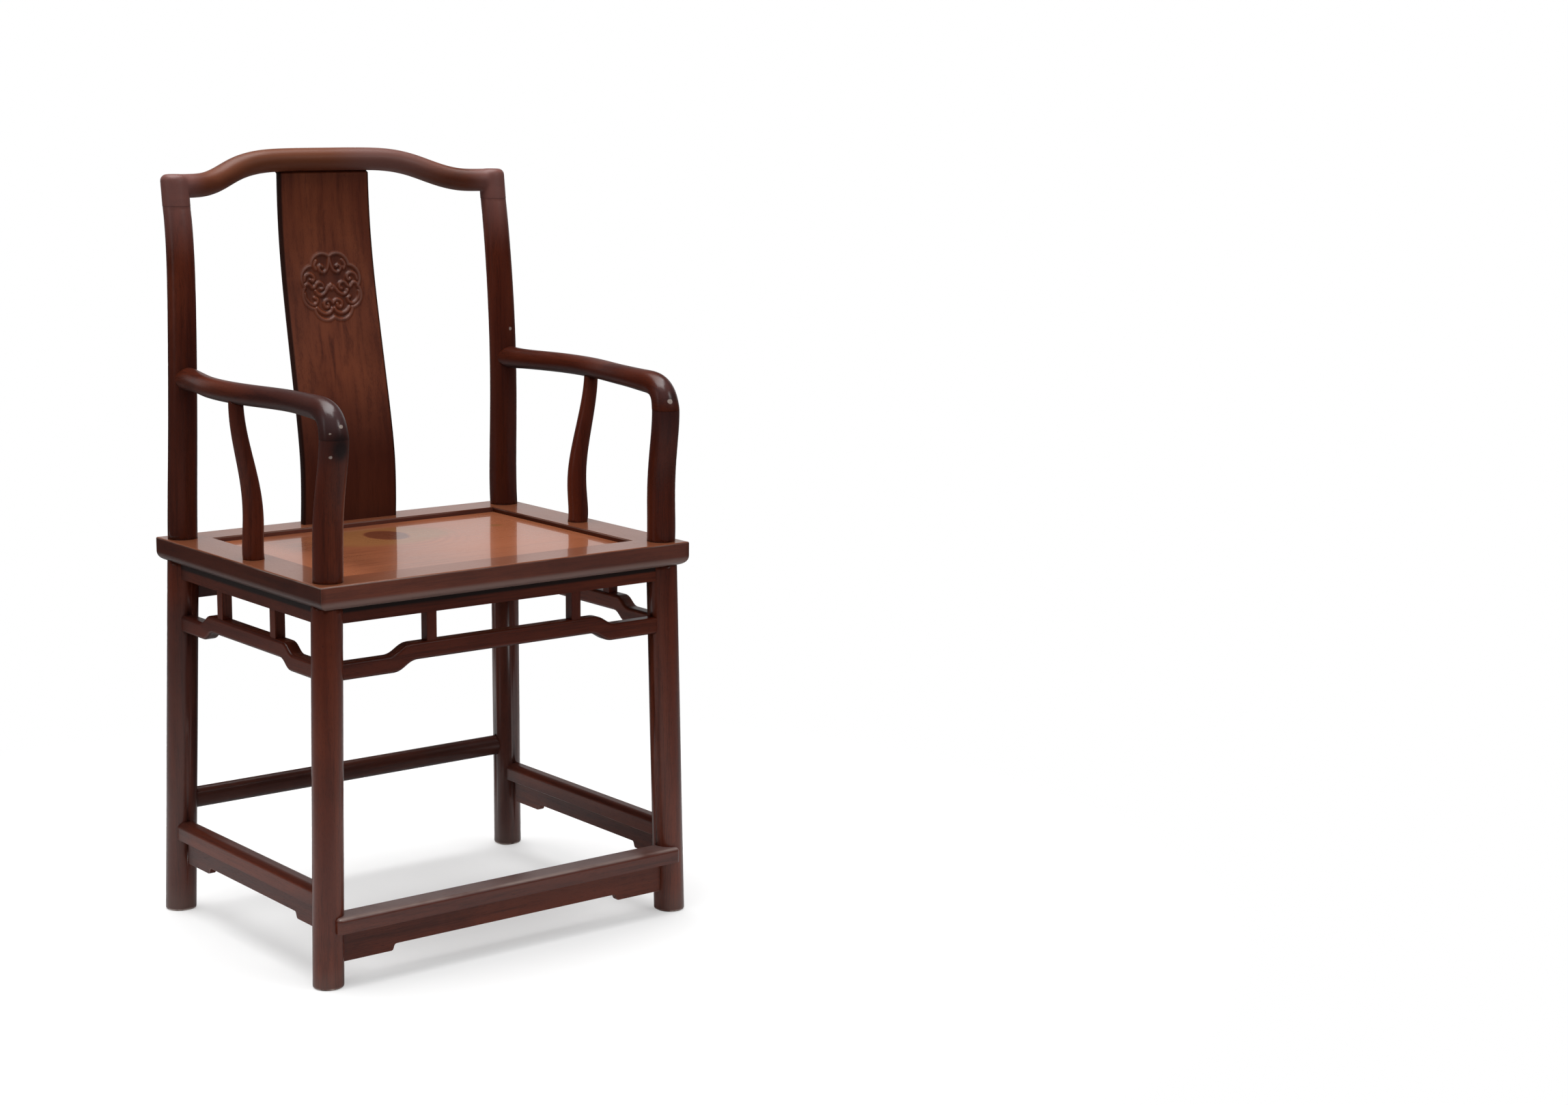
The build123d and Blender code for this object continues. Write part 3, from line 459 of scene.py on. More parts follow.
def stretcher_wood(lie):
    """Rails and stretchers: a painted shadow line close under the seat frame, darker at the back.
    """
    wood = Timber(f"stretcher_wood_{lie}", lie, frame_tones(), 9.2)
    # Painted shadow just below the seat frame.
    shadow = wood.z.smooth(FRAME_UNDERSIDE - 0.0095, FRAME_UNDERSIDE - 0.006)
    shadow = shadow * wood.z.smooth(FRAME_UNDERSIDE + 0.002, FRAME_UNDERSIDE)
    wood.tint(shadow * 0.9, DEEP_SHADE)
    wood.tint(wood.y.smooth(0.12, 0.17) * 0.5, BACK_SHADE)
    # Painted shade: the side pieces' upward faces are darkened.
    if lie == "y":
        wood.tint(wood.above * 0.45, wood.dark)
    return wood.finish(0.32, 0.26, wood.z.smooth(0.50, 0.05) * 0.1 + 0.05, 0.16)


def foot_rest_wood(lie):
    """Foot rest: its tread paler on top, with wear and a painted highlight along the front edge."""
    wood = Timber("foot_rest_wood", lie, frame_tones(), 13.4)
    tread = wood.z.smooth(TREAD_TOP - 0.0042, TREAD_TOP) * wood.cloud.smooth(0.25, 0.6)
    wood.tint(tread * 0.85, TREAD)
    # Wear and a painted highlight along the tread's front edge.
    edge = wood.z.smooth(TREAD_TOP - 0.0027, TREAD_TOP - 0.0007)
    wood.rub(edge * wood.y.smooth(TREAD_FRONT + 0.008, TREAD_FRONT) * 0.5)
    return wood.finish(0.36 + tread * 0.1, 0.45, 0.32, 0.2)


def edge_wear_and_highlight(lie):
    """The eased edges of sawn pieces: a little paler as a painted highlight, and broken by wear."""
    dark, body, light, worn = frame_tones()
    tones = (rgba(dark, 1.3), rgba(body, 1.7), light, worn)
    wood = Timber(f"edge_wear_and_highlight_{lie}", lie, tones, 2.2)
    wood.rub(wood.cloud.smooth(0.35, 0.6) * 0.5)
    return wood.finish(0.40, 0.42, 0.1, 0.2)


def back_board_wood(lie):
    """Back board: warm round the roundel, dark at its foot, its ridges rubbed paler and given a
    painted highlight.
    """
    colours, sizes = bpy.context.scene.chair_colours, bpy.context.scene.chair_sizes
    tones = (colours.board_vein, colours.board_body, colours.board_glow, colours.worn)
    wood = Timber("back_board_wood", lie, tones, 17.3)
    f = wood.bench
    carve = f.node("ShaderNodeAttribute", {"attribute_name": "carve"}, out="Fac")
    warm = wood.near((0.0, 0.2, 0.79), (0.06, 0.1, 0.12)) * 0.45
    wood.tint(warm * wood.ribbon.smooth(0.3, 0.6), colours.board_glow, 1.15)
    wood.tint(wood.z.smooth(0.76, 0.62) * 0.75, colours.board_vein)
    wood.tint(carve.smooth(-0.3, -1.0) * 0.35, colours.board_vein)
    # Ridges: rubbed paler, partly a painted highlight.
    ridge = carve.smooth(0.1, 0.6)
    wood.tint(ridge * wood.cloud.smooth(0.2, 0.6) * 0.6, CARVED_RIDGE)
    rise = (wood.z - BOARD_FOOT) / (BOARD_HEAD - BOARD_FOOT)
    half = rise * (sizes.board_head_half - sizes.board_foot_half) + sizes.board_foot_half
    rim = (abs(wood.x) - half).smooth(-0.0042, -0.0012)
    wood.tint(rim * 0.85, colours.board_vein, 0.25)
    return wood.finish(0.36, 0.26, ridge * 0.2 + 0.04, 0.22, 0.08)


def seat_board_wood(lie):
    """Two boards, their grain across the chair, with an eye in the figure."""
    colours = bpy.context.scene.chair_colours
    warm = rgba(colours.seat_body, 1.35)
    tones = (colours.seat_vein, colours.seat_body, warm, colours.worn)
    wood = Timber("seat_board_wood", lie, tones, 21.9, open_pores=0.1)
    # Painted light: the middle and the left part of the seat are lightened.
    pale = wood.near((0.13, 0.0, SEAT_TOP), (0.26, 0.30, 1.0)).most(wood.x.smooth(-0.14, -0.20))
    wood.tint(pale * 0.8, colours.seat_body, 2.1)
    streaks = (wood.ribbon * 0.6 + wood.fibre * 0.5).smooth(0.48, 0.66)
    wood.tint(streaks * 0.35, colours.seat_body, 1.6)
    heart = wood.oval((-0.004, 0.073, SEAT_TOP), (0.031, 0.039, 1.0))
    ring = wood.oval((-0.015, 0.068, SEAT_TOP), (0.095, 0.066, 1.0))
    rings_round_heart = 15.0
    lines = wood.bench.math("SINE", heart * rings_round_heart) * 0.5 + 0.5
    lines = lines * heart.smooth(4.5, 1.2)
    wood.tint(lines * 0.35, colours.seat_vein)
    wood.tint(ring.smooth(1.25, 0.85) * heart.smooth(0.92, 1.08) * 0.85, colours.seat_glow)
    wood.tint(heart.smooth(1.05, 0.85) * 0.85, colours.seat_vein, 0.85)
    knot = wood.near((0.167, 0.055, SEAT_TOP), (0.015, 0.013, 1.0))
    wood.tint(knot * 0.8, colours.seat_glow)
    seam = abs(wood.y - BOARDS_MEET).smooth(0.0012, 0.0002)
    wood.tint(seam * 0.5, colours.seat_vein)
    wood.height = wood.height * 0.4
    return wood.finish(0.28, 0.15, 0.8, 0.05, 0.02)


WOODS = {
    "post": post_wood,
    "arm": arm_wood,
    "crest": crest_wood,
    "seat_rail": rail_wood,
    "stretcher": stretcher_wood,
    "foot_rest": foot_rest_wood,
    "edge": edge_wear_and_highlight,
    "board": back_board_wood,
    "seat": seat_board_wood,
}


@cache
def finish_for(kind, lie):
    """The finish of a kind of piece along a grain direction, made once."""
    return WOODS[kind](lie)


# ---- shapes
def placed(name, data):
    """A new object in the scene."""
    made = bpy.data.objects.new(name, data)
    bpy.context.scene.collection.objects.link(made)
    return made


def merged_copy(node, flat):
    """A node's mesh as one joined surface; with flat, each plane is one face again."""
    shape = bmesh.new()
    shape.from_mesh(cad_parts[node].data)
    bmesh.ops.remove_doubles(shape, verts=shape.verts, dist=2e-6)
    if flat:
        plane = radians(0.6)
        bmesh.ops.dissolve_limit(
            shape, angle_limit=plane, verts=shape.verts, edges=shape.edges
        )
    mesh = bpy.data.meshes.new(node)
    shape.to_mesh(mesh)
    shape.free()
    return mesh


def settle(piece):
    """Works a piece's modifiers into a plain mesh."""
    bpy.context.view_layer.update()
    ready = piece.evaluated_get(bpy.context.evaluated_depsgraph_get())
    mesh = bpy.data.meshes.new_from_object(ready)
    piece.modifiers.clear()
    piece.data = mesh


def hang(mesh, name, *materials):
    """A mesh in the scene, all of it in the first of its materials."""
    mesh.materials.clear()
    for material in materials:
        mesh.materials.append(material)
    for face in mesh.polygons:
        face.material_index = 0
    return placed(name, mesh)


def smoothed(mesh, angle):
    """Smooth shading, but for edges that bend by more than the angle in degrees."""
    for face in mesh.polygons:
        face.use_smooth = True
    mesh.set_sharp_from_angle(angle=radians(angle))


def stand_in(piece, slot, *nodes):
    """Puts a finished piece on the chair in place of its nodes."""
    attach(piece, BODY)
    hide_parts(*nodes)


def modify(piece, name, kind, **settings):
    """Adds a modifier with its settings."""
    made = piece.modifiers.new(name, kind)
    for setting, value in settings.items():
        setattr(made, setting, value)


def ease(piece, width):
    """Rounds the crisp edges of a sawn piece; the new strips take its last material.

    The wide faces keep their own direction, so that what they reflect stays straight.
    """
    strips = len(piece.data.materials) - 1
    modify(
        piece, "ease", "BEVEL", width=width, segments=2, limit_method="ANGLE",
        angle_limit=radians(38), material=strips, use_clamp_overlap=True,
    )
    settle(piece)
    smoothed(piece.data, 34)
    modify(piece, "even", "WEIGHTED_NORMAL", keep_sharp=True, weight=90)
    settle(piece)


def eased_piece(node, kind, lie, width, slot="frame_wood"):
    """A sawn piece with its edges eased and a little worn."""
    mesh = merged_copy(node, True)
    piece = hang(mesh, "wood_" + node, finish_for(kind, lie), finish_for("edge", lie))
    ease(piece, width)
    stand_in(piece, slot, node)


def true_rim(mesh, height, slack=0.0003):
    """Turns the shading straight outward on the round rim of a joint at this height.

    Corners left at zero, such as those of the shoulder's flat, keep their own direction.
    """
    ring = {v.index: v.co for v in mesh.vertices if abs(v.co.z - height) < slack}
    xs, ys = [co.x for co in ring.values()], [co.y for co in ring.values()]
    centre = Vector(((min(xs) + max(xs)) / 2, (min(ys) + max(ys)) / 2, height))
    radius = (max(xs) - min(xs)) / 2
    outward = [Vector()] * len(mesh.loops)
    for face in mesh.polygons:
        if abs(face.normal.z) > 0.5:
            continue
        for corner in face.loop_indices:
            place = ring.get(mesh.loops[corner].vertex_index)
            if place is not None and (place - centre).length > radius * 0.9:
                way = place - centre
                outward[corner] = Vector((way.x, way.y, 0.0)).normalized()
    mesh.normals_split_custom_set(outward)


def turned_piece(node, kind, lie, joint=None):
    """A rounded piece, smooth all over but for its shoulders."""
    mesh = merged_copy(node, False)
    piece = hang(mesh, "wood_" + node, finish_for(kind, lie))
    smoothed(mesh, 40)
    if joint is not None:
        true_rim(mesh, joint)
    stand_in(piece, "frame_wood", node)
    return piece


def melt(piece, corners, reach, foot, voxel=0.0015, rounds=30, fade=0.008):
    """Shades a carved piece's inner corners as one flowing surface.

    Around each corner the directions of a softened copy fade in; below the foot none do.
    """
    soft = placed("softened", piece.data.copy())
    modify(soft, "skin", "REMESH", mode="VOXEL", voxel_size=voxel, use_smooth_shade=True)
    modify(soft, "blur", "SMOOTH", factor=0.5, iterations=rounds)
    settle(soft)
    group = piece.vertex_groups.new(name="corners")
    for vertex in piece.data.vertices:
        away = min((vertex.co - Vector(corner)).length for corner in corners)
        share = min(2 - 2 * away / reach, (vertex.co.z - foot) / fade - 0.5, 1)
        if share > 0:
            group.add([vertex.index], share, "REPLACE")
    modify(
        piece, "melt", "DATA_TRANSFER", object=soft, use_loop_data=True,
        data_types_loops={"CUSTOM_NORMAL"}, loop_mapping="POLYINTERP_NEAREST",
        vertex_group=group.name,
    )
    settle(piece)
    bpy.data.objects.remove(soft)


class Shaping(Bench):
    """A geometry tree with named inputs, worked on one object and then settled."""

    KINDS = {
        "length": "NodeSocketFloat",
        "object": "NodeSocketObject",
        "material": "NodeSocketMaterial",
    }

    def __init__(self, name, **inputs):
        super().__init__(bpy.data.node_groups.new(name, "GeometryNodeTree"))
        face = self.tree.interface
        for way in ("INPUT", "OUTPUT"):
            face.new_socket("Geometry", in_out=way, socket_type="NodeSocketGeometry")
        self.identifiers = {}
        for label, kind in inputs.items():
            label = label.replace("_", " ").capitalize()
            socket = face.new_socket(label, in_out="INPUT", socket_type=self.KINDS[kind])
            if kind == "length":
                socket.subtype = "DISTANCE"
            self.identifiers[label] = socket.identifier
        self.given = self.node("NodeGroupInput", out=None)

    def __getitem__(self, label):
        return Value(self, self.given.outputs[label])

    def named(self, name, kind="FLOAT"):
        """What the mesh carries under a name."""
        settings, sockets = {"data_type": kind}, {"Name": name}
        return self.node("GeometryNodeInputNamedAttribute", settings, sockets, out="Attribute")

    def finish(self, geometry):
        """Ends the tree: real geometry with its material on it."""
        real = self.node("GeometryNodeRealizeInstances", None, {"Geometry": geometry})
        sockets = {"Geometry": real, "Material": self["Material"]}
        done = self.node("GeometryNodeSetMaterial", None, sockets)
        end = self.node("NodeGroupOutput", out=None)
        self.tree.links.new(done.socket, end.inputs["Geometry"])

    def work(self, piece, **values):
        """Runs the tree on a piece and leaves a plain mesh."""
        step = piece.modifiers.new(self.tree.name, "NODES")
        step.node_group = self.tree
        for label, value in values.items():
            step[self.identifiers[label.replace("_", " ").capitalize()]] = value
        piece.update_tag()
        settle(piece)


def give_attribute(mesh, name, kind, values):
    field = {"FLOAT": "value", "FLOAT_VECTOR": "vector"}[kind]
    made = mesh.attributes.new(name, kind, "POINT")
    made.data.foreach_set(field, np.asarray(values, np.float32).ravel())


# ---- back board
# Lines of the roundel's right half, in millimetres from its middle: across and up.
SCROLLS = (
    # stem from the top notch, rolled outward
    ((0.0, 44.0), (0.8, 37.0), (2.6, 29.5), (5.6, 23.4), (10.4, 20.4), (15.6, 22.2),
     (17.6, 27.0), (14.6, 30.6), (11.2, 28.6)),
    # hook in the upper side lobe
    ((43.0, 9.5), (41.0, 15.5), (35.6, 19.0), (29.6, 17.6), (26.4, 12.8), (28.8, 9.0),
     (32.0, 10.2)),
    # scroll from the side notch towards the middle
    ((45.0, 0.0), (40.0, 4.4), (35.4, 4.2), (31.0, -0.6), (26.6, 0.6), (22.6, 5.2),
     (17.6, 6.4), (13.4, 3.4), (13.0, -1.4), (16.8, -3.2)),
    # link from the middle boss outward and down
    ((3.6, 0.8), (7.0, -3.4), (11.6, -8.6), (17.6, -11.4), (23.0, -10.0), (26.0, -5.6)),
    # lower pair, joined in the middle
    ((0.0, -23.2), (3.4, -19.8), (7.6, -18.4), (12.4, -20.2), (14.6, -25.0), (11.8, -29.2),
     (7.6, -28.0), (7.4, -24.8)),
    # hook in the lower side lobe
    ((44.0, -8.0), (43.2, -14.4), (38.6, -21.2), (32.0, -24.6), (26.4, -22.4), (24.8, -17.4),
     (28.6, -15.0)),
    # inner line of the bottom lobe
    ((26.6, -29.6), (20.6, -35.4), (12.8, -38.0), (5.4, -35.8), (1.6, -31.0)),
    # short leaf in the top lobe
    ((21.5, 37.0), (25.0, 31.0), (23.0, 25.5)),
)
BOSS = ((0.0, 3.0), (2.4, 0.0), (0.0, -3.0), (-2.4, 0.0), (0.0, 3.0))


def eased_line(points, parts=10):
    """An even curve through points."""
    points = np.asarray(points, float)
    ends = np.vstack((2 * points[0] - points[1], points, 2 * points[-1] - points[-2]))
    share = np.linspace(0, 1, parts, endpoint=False)[:, None]
    runs = []
    for i in range(len(points) - 1):
        a, b, c, d = ends[i : i + 4]
        bend, twist = 2 * a - 5 * b + 4 * c - d, 3 * b - 3 * c + d - a
        runs.append(0.5 * (2 * b + (c - a) * share + bend * share**2 + twist * share**3))
    return np.vstack(runs + [points[-1:]])


def lobed_outline(sizes):
    """The roundel's outer line: equal round lobes that meet in notches."""
    lobe = sizes.lobe_radius
    ring = sizes.roundel_radius - lobe
    half = pi / sizes.roundel_lobes
    # each lobe is drawn from notch to notch
    notch = ring * cos(half) + (lobe**2 - (ring * sin(half)) ** 2) ** 0.5
    reach = np.arctan2(notch * sin(half), notch * cos(half) - ring)
    line = []
    for number in range(sizes.roundel_lobes):
        middle = half + number * 2 * half
        for turn in np.linspace(-reach, reach, 24, endpoint=False):
            across = ring * sin(middle) + lobe * sin(middle + turn)
            line.append((across, ring * cos(middle) + lobe * cos(middle + turn)))
    return np.array(line + line[:1])


PLAIN_SIDE = 0.068  # across, clear of the carving
ROW_STEP = 0.0045  # between the plain rows
FOOT_TUCK, HEAD_GAP = 0.005, 0.007  # into the seat rail, and short of the board's head
ARRIS = 0.0016  # radius of the long edges
WALL = 0.0016  # width of the slope round the sunk ground
NEARBY = 0.004  # up and down, for the board's own slope


def board_front(height):
    """Depth of the board's front face at a height, beside the roundel."""
    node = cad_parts["back_splat"]
    height = min(max(height, BOARD_FOOT + 0.001), BOARD_HEAD - 0.016)
    found, place, _, _ = node.ray_cast(Vector((PLAIN_SIDE, -1, height)), Vector((0, 1, 0)))
    if not found:
        raise RuntimeError(f"the back board has no front face at a height of {height:.3f} m")
    return place.y


def depth_inside(points, outline):
    """How far points lie inside a closed line, in metres; negative outside it."""
    start, end = outline[:-1], outline[1:]
    run = end - start
    long = (run**2).sum(1)
    nearest = np.full(len(points), 1e9)
    crossings = np.zeros(len(points), int)
    for a, b, r, l in zip(start, end, run, long):
        share = np.clip(((points - a) @ r) / l, 0, 1)
        nearest = np.minimum(nearest, np.hypot(*(points - a - share[:, None] * r).T))
        spans = (a[1] > points[:, 1]) != (b[1] > points[:, 1])
        with np.errstate(divide="ignore", invalid="ignore"):
            cut = a[0] + (points[:, 1] - a[1]) / (b[1] - a[1]) * (b[0] - a[0])
        crossings += spans & (points[:, 0] < cut)
    return np.where(crossings % 2, nearest, -nearest)


def bent_board(sizes, outline):
    """The plain board as a closed skin, finely divided where it is carved."""
    middle = BOARD_FOOT + sizes.roundel_rise
    reach = sizes.roundel_radius + 0.010
    fine = np.arange(-reach, reach + 1e-6, sizes.carving_step)
    below = np.arange(BOARD_FOOT - FOOT_TUCK, middle - reach - 0.002, ROW_STEP)
    above = np.arange(middle + reach + 0.003, BOARD_HEAD - HEAD_GAP, ROW_STEP)
    rows = np.concatenate((below, middle + fine, above))
    thick = sizes.board_thickness
    arc = [(ARRIS * (1 - sin(t)), ARRIS * (1 - cos(t))) for t in np.linspace(0, pi / 2, 4)]
    places, outward, flat = [], [], []
    for row in rows:
        share = (row - BOARD_FOOT) / (BOARD_HEAD - BOARD_FOOT)
        half = sizes.board_foot_half + (sizes.board_head_half - sizes.board_foot_half) * share
        side = np.array([0.35, 0.7]) * (half - ARRIS - reach) + reach
        front = np.concatenate((-side[::-1], fine, side))
        loop = [(x, 0.0) for x in front]
        loop += [(half - a, b) for a, b in arc] + [(half - b, thick - a) for a, b in arc]
        loop += [(half * 0.4, thick), (-half * 0.4, thick)]
        loop += [(a - half, thick - b) for a, b in arc] + [(b - half, a) for a, b in arc]
        here = board_front(row)
        slope = (board_front(row + NEARBY) - board_front(row - NEARBY)) / (2 * NEARBY)
        normal = np.array((0.0, -1.0, slope)) / (1 + slope * slope) ** 0.5
        for x, depth in loop:
            places.append((x, here + depth, row))
            on_front = depth == 0.0 and abs(x) <= reach
            outward.append(normal if on_front else (0.0, 0.0, 0.0))
            flat.append((x, row - middle))
    count = len(loop)
    faces = [tuple(range(count)), tuple(range(len(places) - 1, len(places) - count - 1, -1))]
    for row in range(len(rows) - 1):
        low = row * count
        for i in range(count):
            j = (i + 1) % count
            faces.append((low + i, low + count + i, low + count + j, low + j))
    mesh = bpy.data.meshes.new("back_board")
    mesh.from_pydata(places, [], faces)
    deep = depth_inside(np.array(flat), outline)
    give_attribute(mesh, "ground", "FLOAT", np.clip(deep / WALL, 0, 1))
    give_attribute(mesh, "outward", "FLOAT_VECTOR", outward)
    shape = bmesh.new()
    shape.from_mesh(mesh)
    bmesh.ops.recalc_face_normals(shape, faces=shape.faces)
    shape.to_mesh(mesh)
    shape.free()
    return mesh


def lines_on_board(name, lines, sizes):
    """Lines drawn on the board's front, as edges."""
    middle = BOARD_FOOT + sizes.roundel_rise
    places, edges = [], []
    for line in lines:
        start = len(places)
        places += [(x, board_front(middle + up), middle + up) for x, up in line]
        edges += [(i, i + 1) for i in range(start, len(places) - 1)]
    mesh = bpy.data.meshes.new(name)
    mesh.from_pydata(places, edges, [])
    return placed(name, mesh)


def carving_tree():
    """Sinks the ground inside the roundel and raises its rim and scrolls."""
    lengths = ("rim_width", "scroll_width", "depth", "rim_stand", "scroll_stand")
    g = Shaping(
        "carved_roundel", rim="object", scrolls="object", material="material",
        **dict.fromkeys(lengths, "length"),
    )
    place = g.node("GeometryNodeInputPosition")

    def ridge(lines, width):
        drawn = g.node("GeometryNodeObjectInfo", None, {"Object": g[lines]}, out="Geometry")
        sockets = {"Geometry": drawn, "Sample Position": place}
        away = g.node("GeometryNodeProximity", {"target_element": "EDGES"}, sockets, out="Distance")
        share = away / (g[width] * 0.5)
        return (1 - share * share).most(0.0)

    sunk, outward = g.named("ground"), g.named("outward", "FLOAT_VECTOR")
    depth = g["Depth"] * sunk
    rim = ridge("Rim", "Rim width") * (depth + g["Rim stand"])
    scroll = ridge("Scrolls", "Scroll width") * (depth + g["Scroll stand"]) * sunk
    height = rim.most(scroll) - depth
    scaled = {"Vector": outward, "Scale": height}
    offset = g.node("ShaderNodeVectorMath", {"operation": "SCALE"}, scaled)
    sockets = {"Geometry": g["Geometry"], "Offset": offset}
    carved = g.node("GeometryNodeSetPosition", None, sockets)
    share = g.vector("LENGTH", outward) * height / g["Depth"]
    sockets = {"Geometry": carved, "Name": "carve", "Value": share}
    settings = {"data_type": "FLOAT", "domain": "POINT"}
    g.finish(g.node("GeometryNodeStoreNamedAttribute", settings, sockets))
    return g


# ---- struts
def strut_tree():
    """Struts with mitred points, one on every point of the mesh."""
    g = Shaping("struts", width="length", height="length", point="length", material="material")
    edges = {"X": g["Width"], "Y": g["Width"], "Z": g["Height"]}
    size = g.node("ShaderNodeCombineXYZ", None, edges)
    sockets = {"Size": size, "Vertices X": 3, "Vertices Y": 2, "Vertices Z": 2}
    block = g.node("GeometryNodeMeshCube", None, sockets, out="Mesh")
    across, _, up = g.split(g.node("GeometryNodeInputPosition"))
    on_middle = g.math("LESS_THAN", abs(across), 0.0005)
    reach = g.math("SIGN", up) * on_middle * g["Point"]
    offset = g.node("ShaderNodeCombineXYZ", None, {"Z": reach})
    strut = g.node("GeometryNodeSetPosition", None, {"Geometry": block, "Offset": offset})
    turn = g.node("ShaderNodeCombineXYZ", None, {"Z": g.named("turn")})
    sockets = {"Points": g["Geometry"], "Instance": strut, "Rotation": turn}
    g.finish(g.node("GeometryNodeInstanceOnPoints", None, sockets))
    return g


# ---- studio
FLOOR_HALF = 60.0
# Lamps as (name, width and length, place, watts), all turned to one point.
LAMPS = (
    ("top_lamp", (4.6, 4.0), (-0.3, 0.3, 4.8), 330),
    ("front_lamp", (1.1, 1.0), (1.6, -3.4, 3.0), 18),
    ("left_lamp", (0.6, 1.6), (-3.2, 0.4, 1.5), 3.5),
)
LAMPS_AIM = (0, 0, 0.5)
CAMERA_PLACE = (-1.9326, -3.20605, 1.186)
CAMERA_TURNS = (("Z", -38.99), ("X", 79.8), ("Z", 0.6))
CAMERA_LENS = 61.84
# The patch of backdrop that the gloss sees: which way it lies, and its level.
BACKDROP = (0.51, 0.86, 0.0)
BACKDROP_LEVEL = 0.55


def floor_finish(stage):
    """White floor that keeps the chair's shadow and is plain white farther off."""
    made, f = fresh(bpy.data.materials.new("studio_floor"))
    place = f.node("ShaderNodeTexCoord", out="Object")
    away = f.vector("LENGTH", place)
    camera, gloss, glass = f.rays()
    seen = camera.most(glass).most(gloss * stage.sheen)
    mottle = f.noise(place, scale=5.0)
    colour = f.mix(mottle * 0.04, rgba(stage.floor), rgba(stage.floor, 0.9))
    dim = away.smooth(0.9, 2.3).most(away.smooth(0.5, 1.2) * (1 - camera) * 0.75)
    colour = f.mix(dim.most(gloss * 0.55), colour, rgba(stage.floor, 0.05))
    paint = f.node("ShaderNodeBsdfDiffuse", None, {"Color": colour})
    white = f.node("ShaderNodeEmission", None, {"Color": (1, 1, 1, 1), "Strength": 1.0})
    share = (away.smooth(0.55, 1.2) * 0.62 + 0.38) * seen
    shader = f.node("ShaderNodeMixShader", None, {0: share, 1: paint, 2: white})
    f.node("ShaderNodeOutputMaterial", None, {"Surface": shader})
    return made


def studio_world(stage):
    """Even grey light that the camera sees as white; the gloss sees only a bright patch."""
    world, f = fresh(bpy.data.worlds.new("studio_world"))
    way = f.node("ShaderNodeTexCoord", out="Generated")
    backdrop = f.vector("DOT_PRODUCT", way, BACKDROP).smooth(0.55, 0.85)
    backdrop = backdrop * f.split(way)[2].smooth(0.6, 0.25) * BACKDROP_LEVEL
    camera, gloss, glass = f.rays()
    seen = camera.most(glass).most(gloss * backdrop)
    plain = rgba((stage.ambient,) * 3)
    level = f.mix(gloss, plain, rgba(plain, stage.sheen))
    level = f.mix(seen, level, (1, 1, 1, 1))
    light = f.node("ShaderNodeBackground", None, {"Color": level, "Strength": 1.0})
    f.node("ShaderNodeOutputWorld", None, {"Surface": light})
    return world


# ---- settings
def hue(name, description, default):
    return FloatVectorProperty(
        name=name, description=description, subtype="COLOR", min=0, max=1, default=default
    )


def span(name, description, default):
    return FloatProperty(
        name=name, description=description, default=default, min=0.0001, max=1.0,
        unit="LENGTH", precision=4,
    )


def amount(name, description, default, most):
    return FloatProperty(name=name, description=description, default=default, min=0, max=most)


class ChairColours(bpy.types.PropertyGroup):
    """Colours of the woods."""

    vein: hue("Vein", "Dark veins of the frame's wood", (0.025, 0.0041, 0.0021))
    body: hue("Body", "Main colour of the frame's wood", (0.064, 0.0100, 0.0044))
    glow: hue("Glow", "Warm light streaks of the frame's wood", (0.138, 0.0270, 0.0104))
    worn: hue("Worn", "Wood rubbed pale by use", (0.42, 0.34, 0.30))
    board_vein: hue("Board vein", "Dark veins of the back board", (0.040, 0.0068, 0.0033))
    board_body: hue("Board body", "Main colour of the back board", (0.105, 0.0215, 0.0090))
    board_glow: hue("Board glow", "Warm streaks of the back board", (0.190, 0.0480, 0.0180))
    seat_vein: hue("Seat vein", "Dark veins of the seat board", (0.125, 0.033, 0.015))
    seat_body: hue("Seat body", "Main colour of the seat board", (0.190, 0.061, 0.027))
    seat_glow: hue("Seat glow", "Warm figure of the seat board", (0.265, 0.110, 0.038))
    rail_top: hue("Rail top", "Upper face of the seat frame", (0.190, 0.056, 0.025))


class ChairSizes(bpy.types.PropertyGroup):
    """Sizes of the dressing."""

    edge_ease: span("Edge ease", "Width of the eased edge on sawn pieces", 0.0009)
    fine_ease: span("Fine ease", "Width of the eased edge on thin pieces", 0.0006)
    strut_point: span("Strut point", "Length of a strut's mitred point", 0.005)
    roundel_rise: span("Roundel rise", "Height of the roundel's middle", 0.3345)
    roundel_radius: span("Roundel radius", "From the middle to a lobe's crown", 0.0495)
    lobe_radius: span("Lobe radius", "Radius of one lobe of the rim", 0.0185)
    roundel_lobes: IntProperty(
        name="Lobes", description="Number of lobes round the rim", default=8, min=3, max=16
    )
    rim_width: span("Rim width", "Width of the raised rim", 0.0064)
    rim_stand: span("Rim stand", "How far the rim stands above the board", 0.0012)
    scroll_width: span("Scroll width", "Width of the scrolls' ridges", 0.0066)
    scroll_stand: span("Scroll stand", "How far the scrolls stand up", 0.0010)
    carving_depth: span("Carving depth", "How deep the ground is sunk", 0.0014)
    carving_step: span("Carving step", "Spacing of the carved mesh", 0.00085)
    board_thickness: span("Board thickness", "Thickness of the back board", 0.011)
    board_foot_half: span("Board foot", "Half of its width at the foot", 0.0762)
    board_head_half: span("Board head", "Half of its width at the head", 0.0717)


class ChairStage(bpy.types.PropertyGroup):
    """Floor, lamps and world."""

    floor: hue("Floor", "Colour of the studio floor", (0.97, 0.97, 0.97))
    ambient: amount("Ambient", "Even light from all round", 0.38, 2)
    sheen: amount("Sheen", "How much of the surroundings the gloss shows", 0.04, 1)
    lamps: amount("Lamps", "Strength of the soft lamps", 1.0, 4)


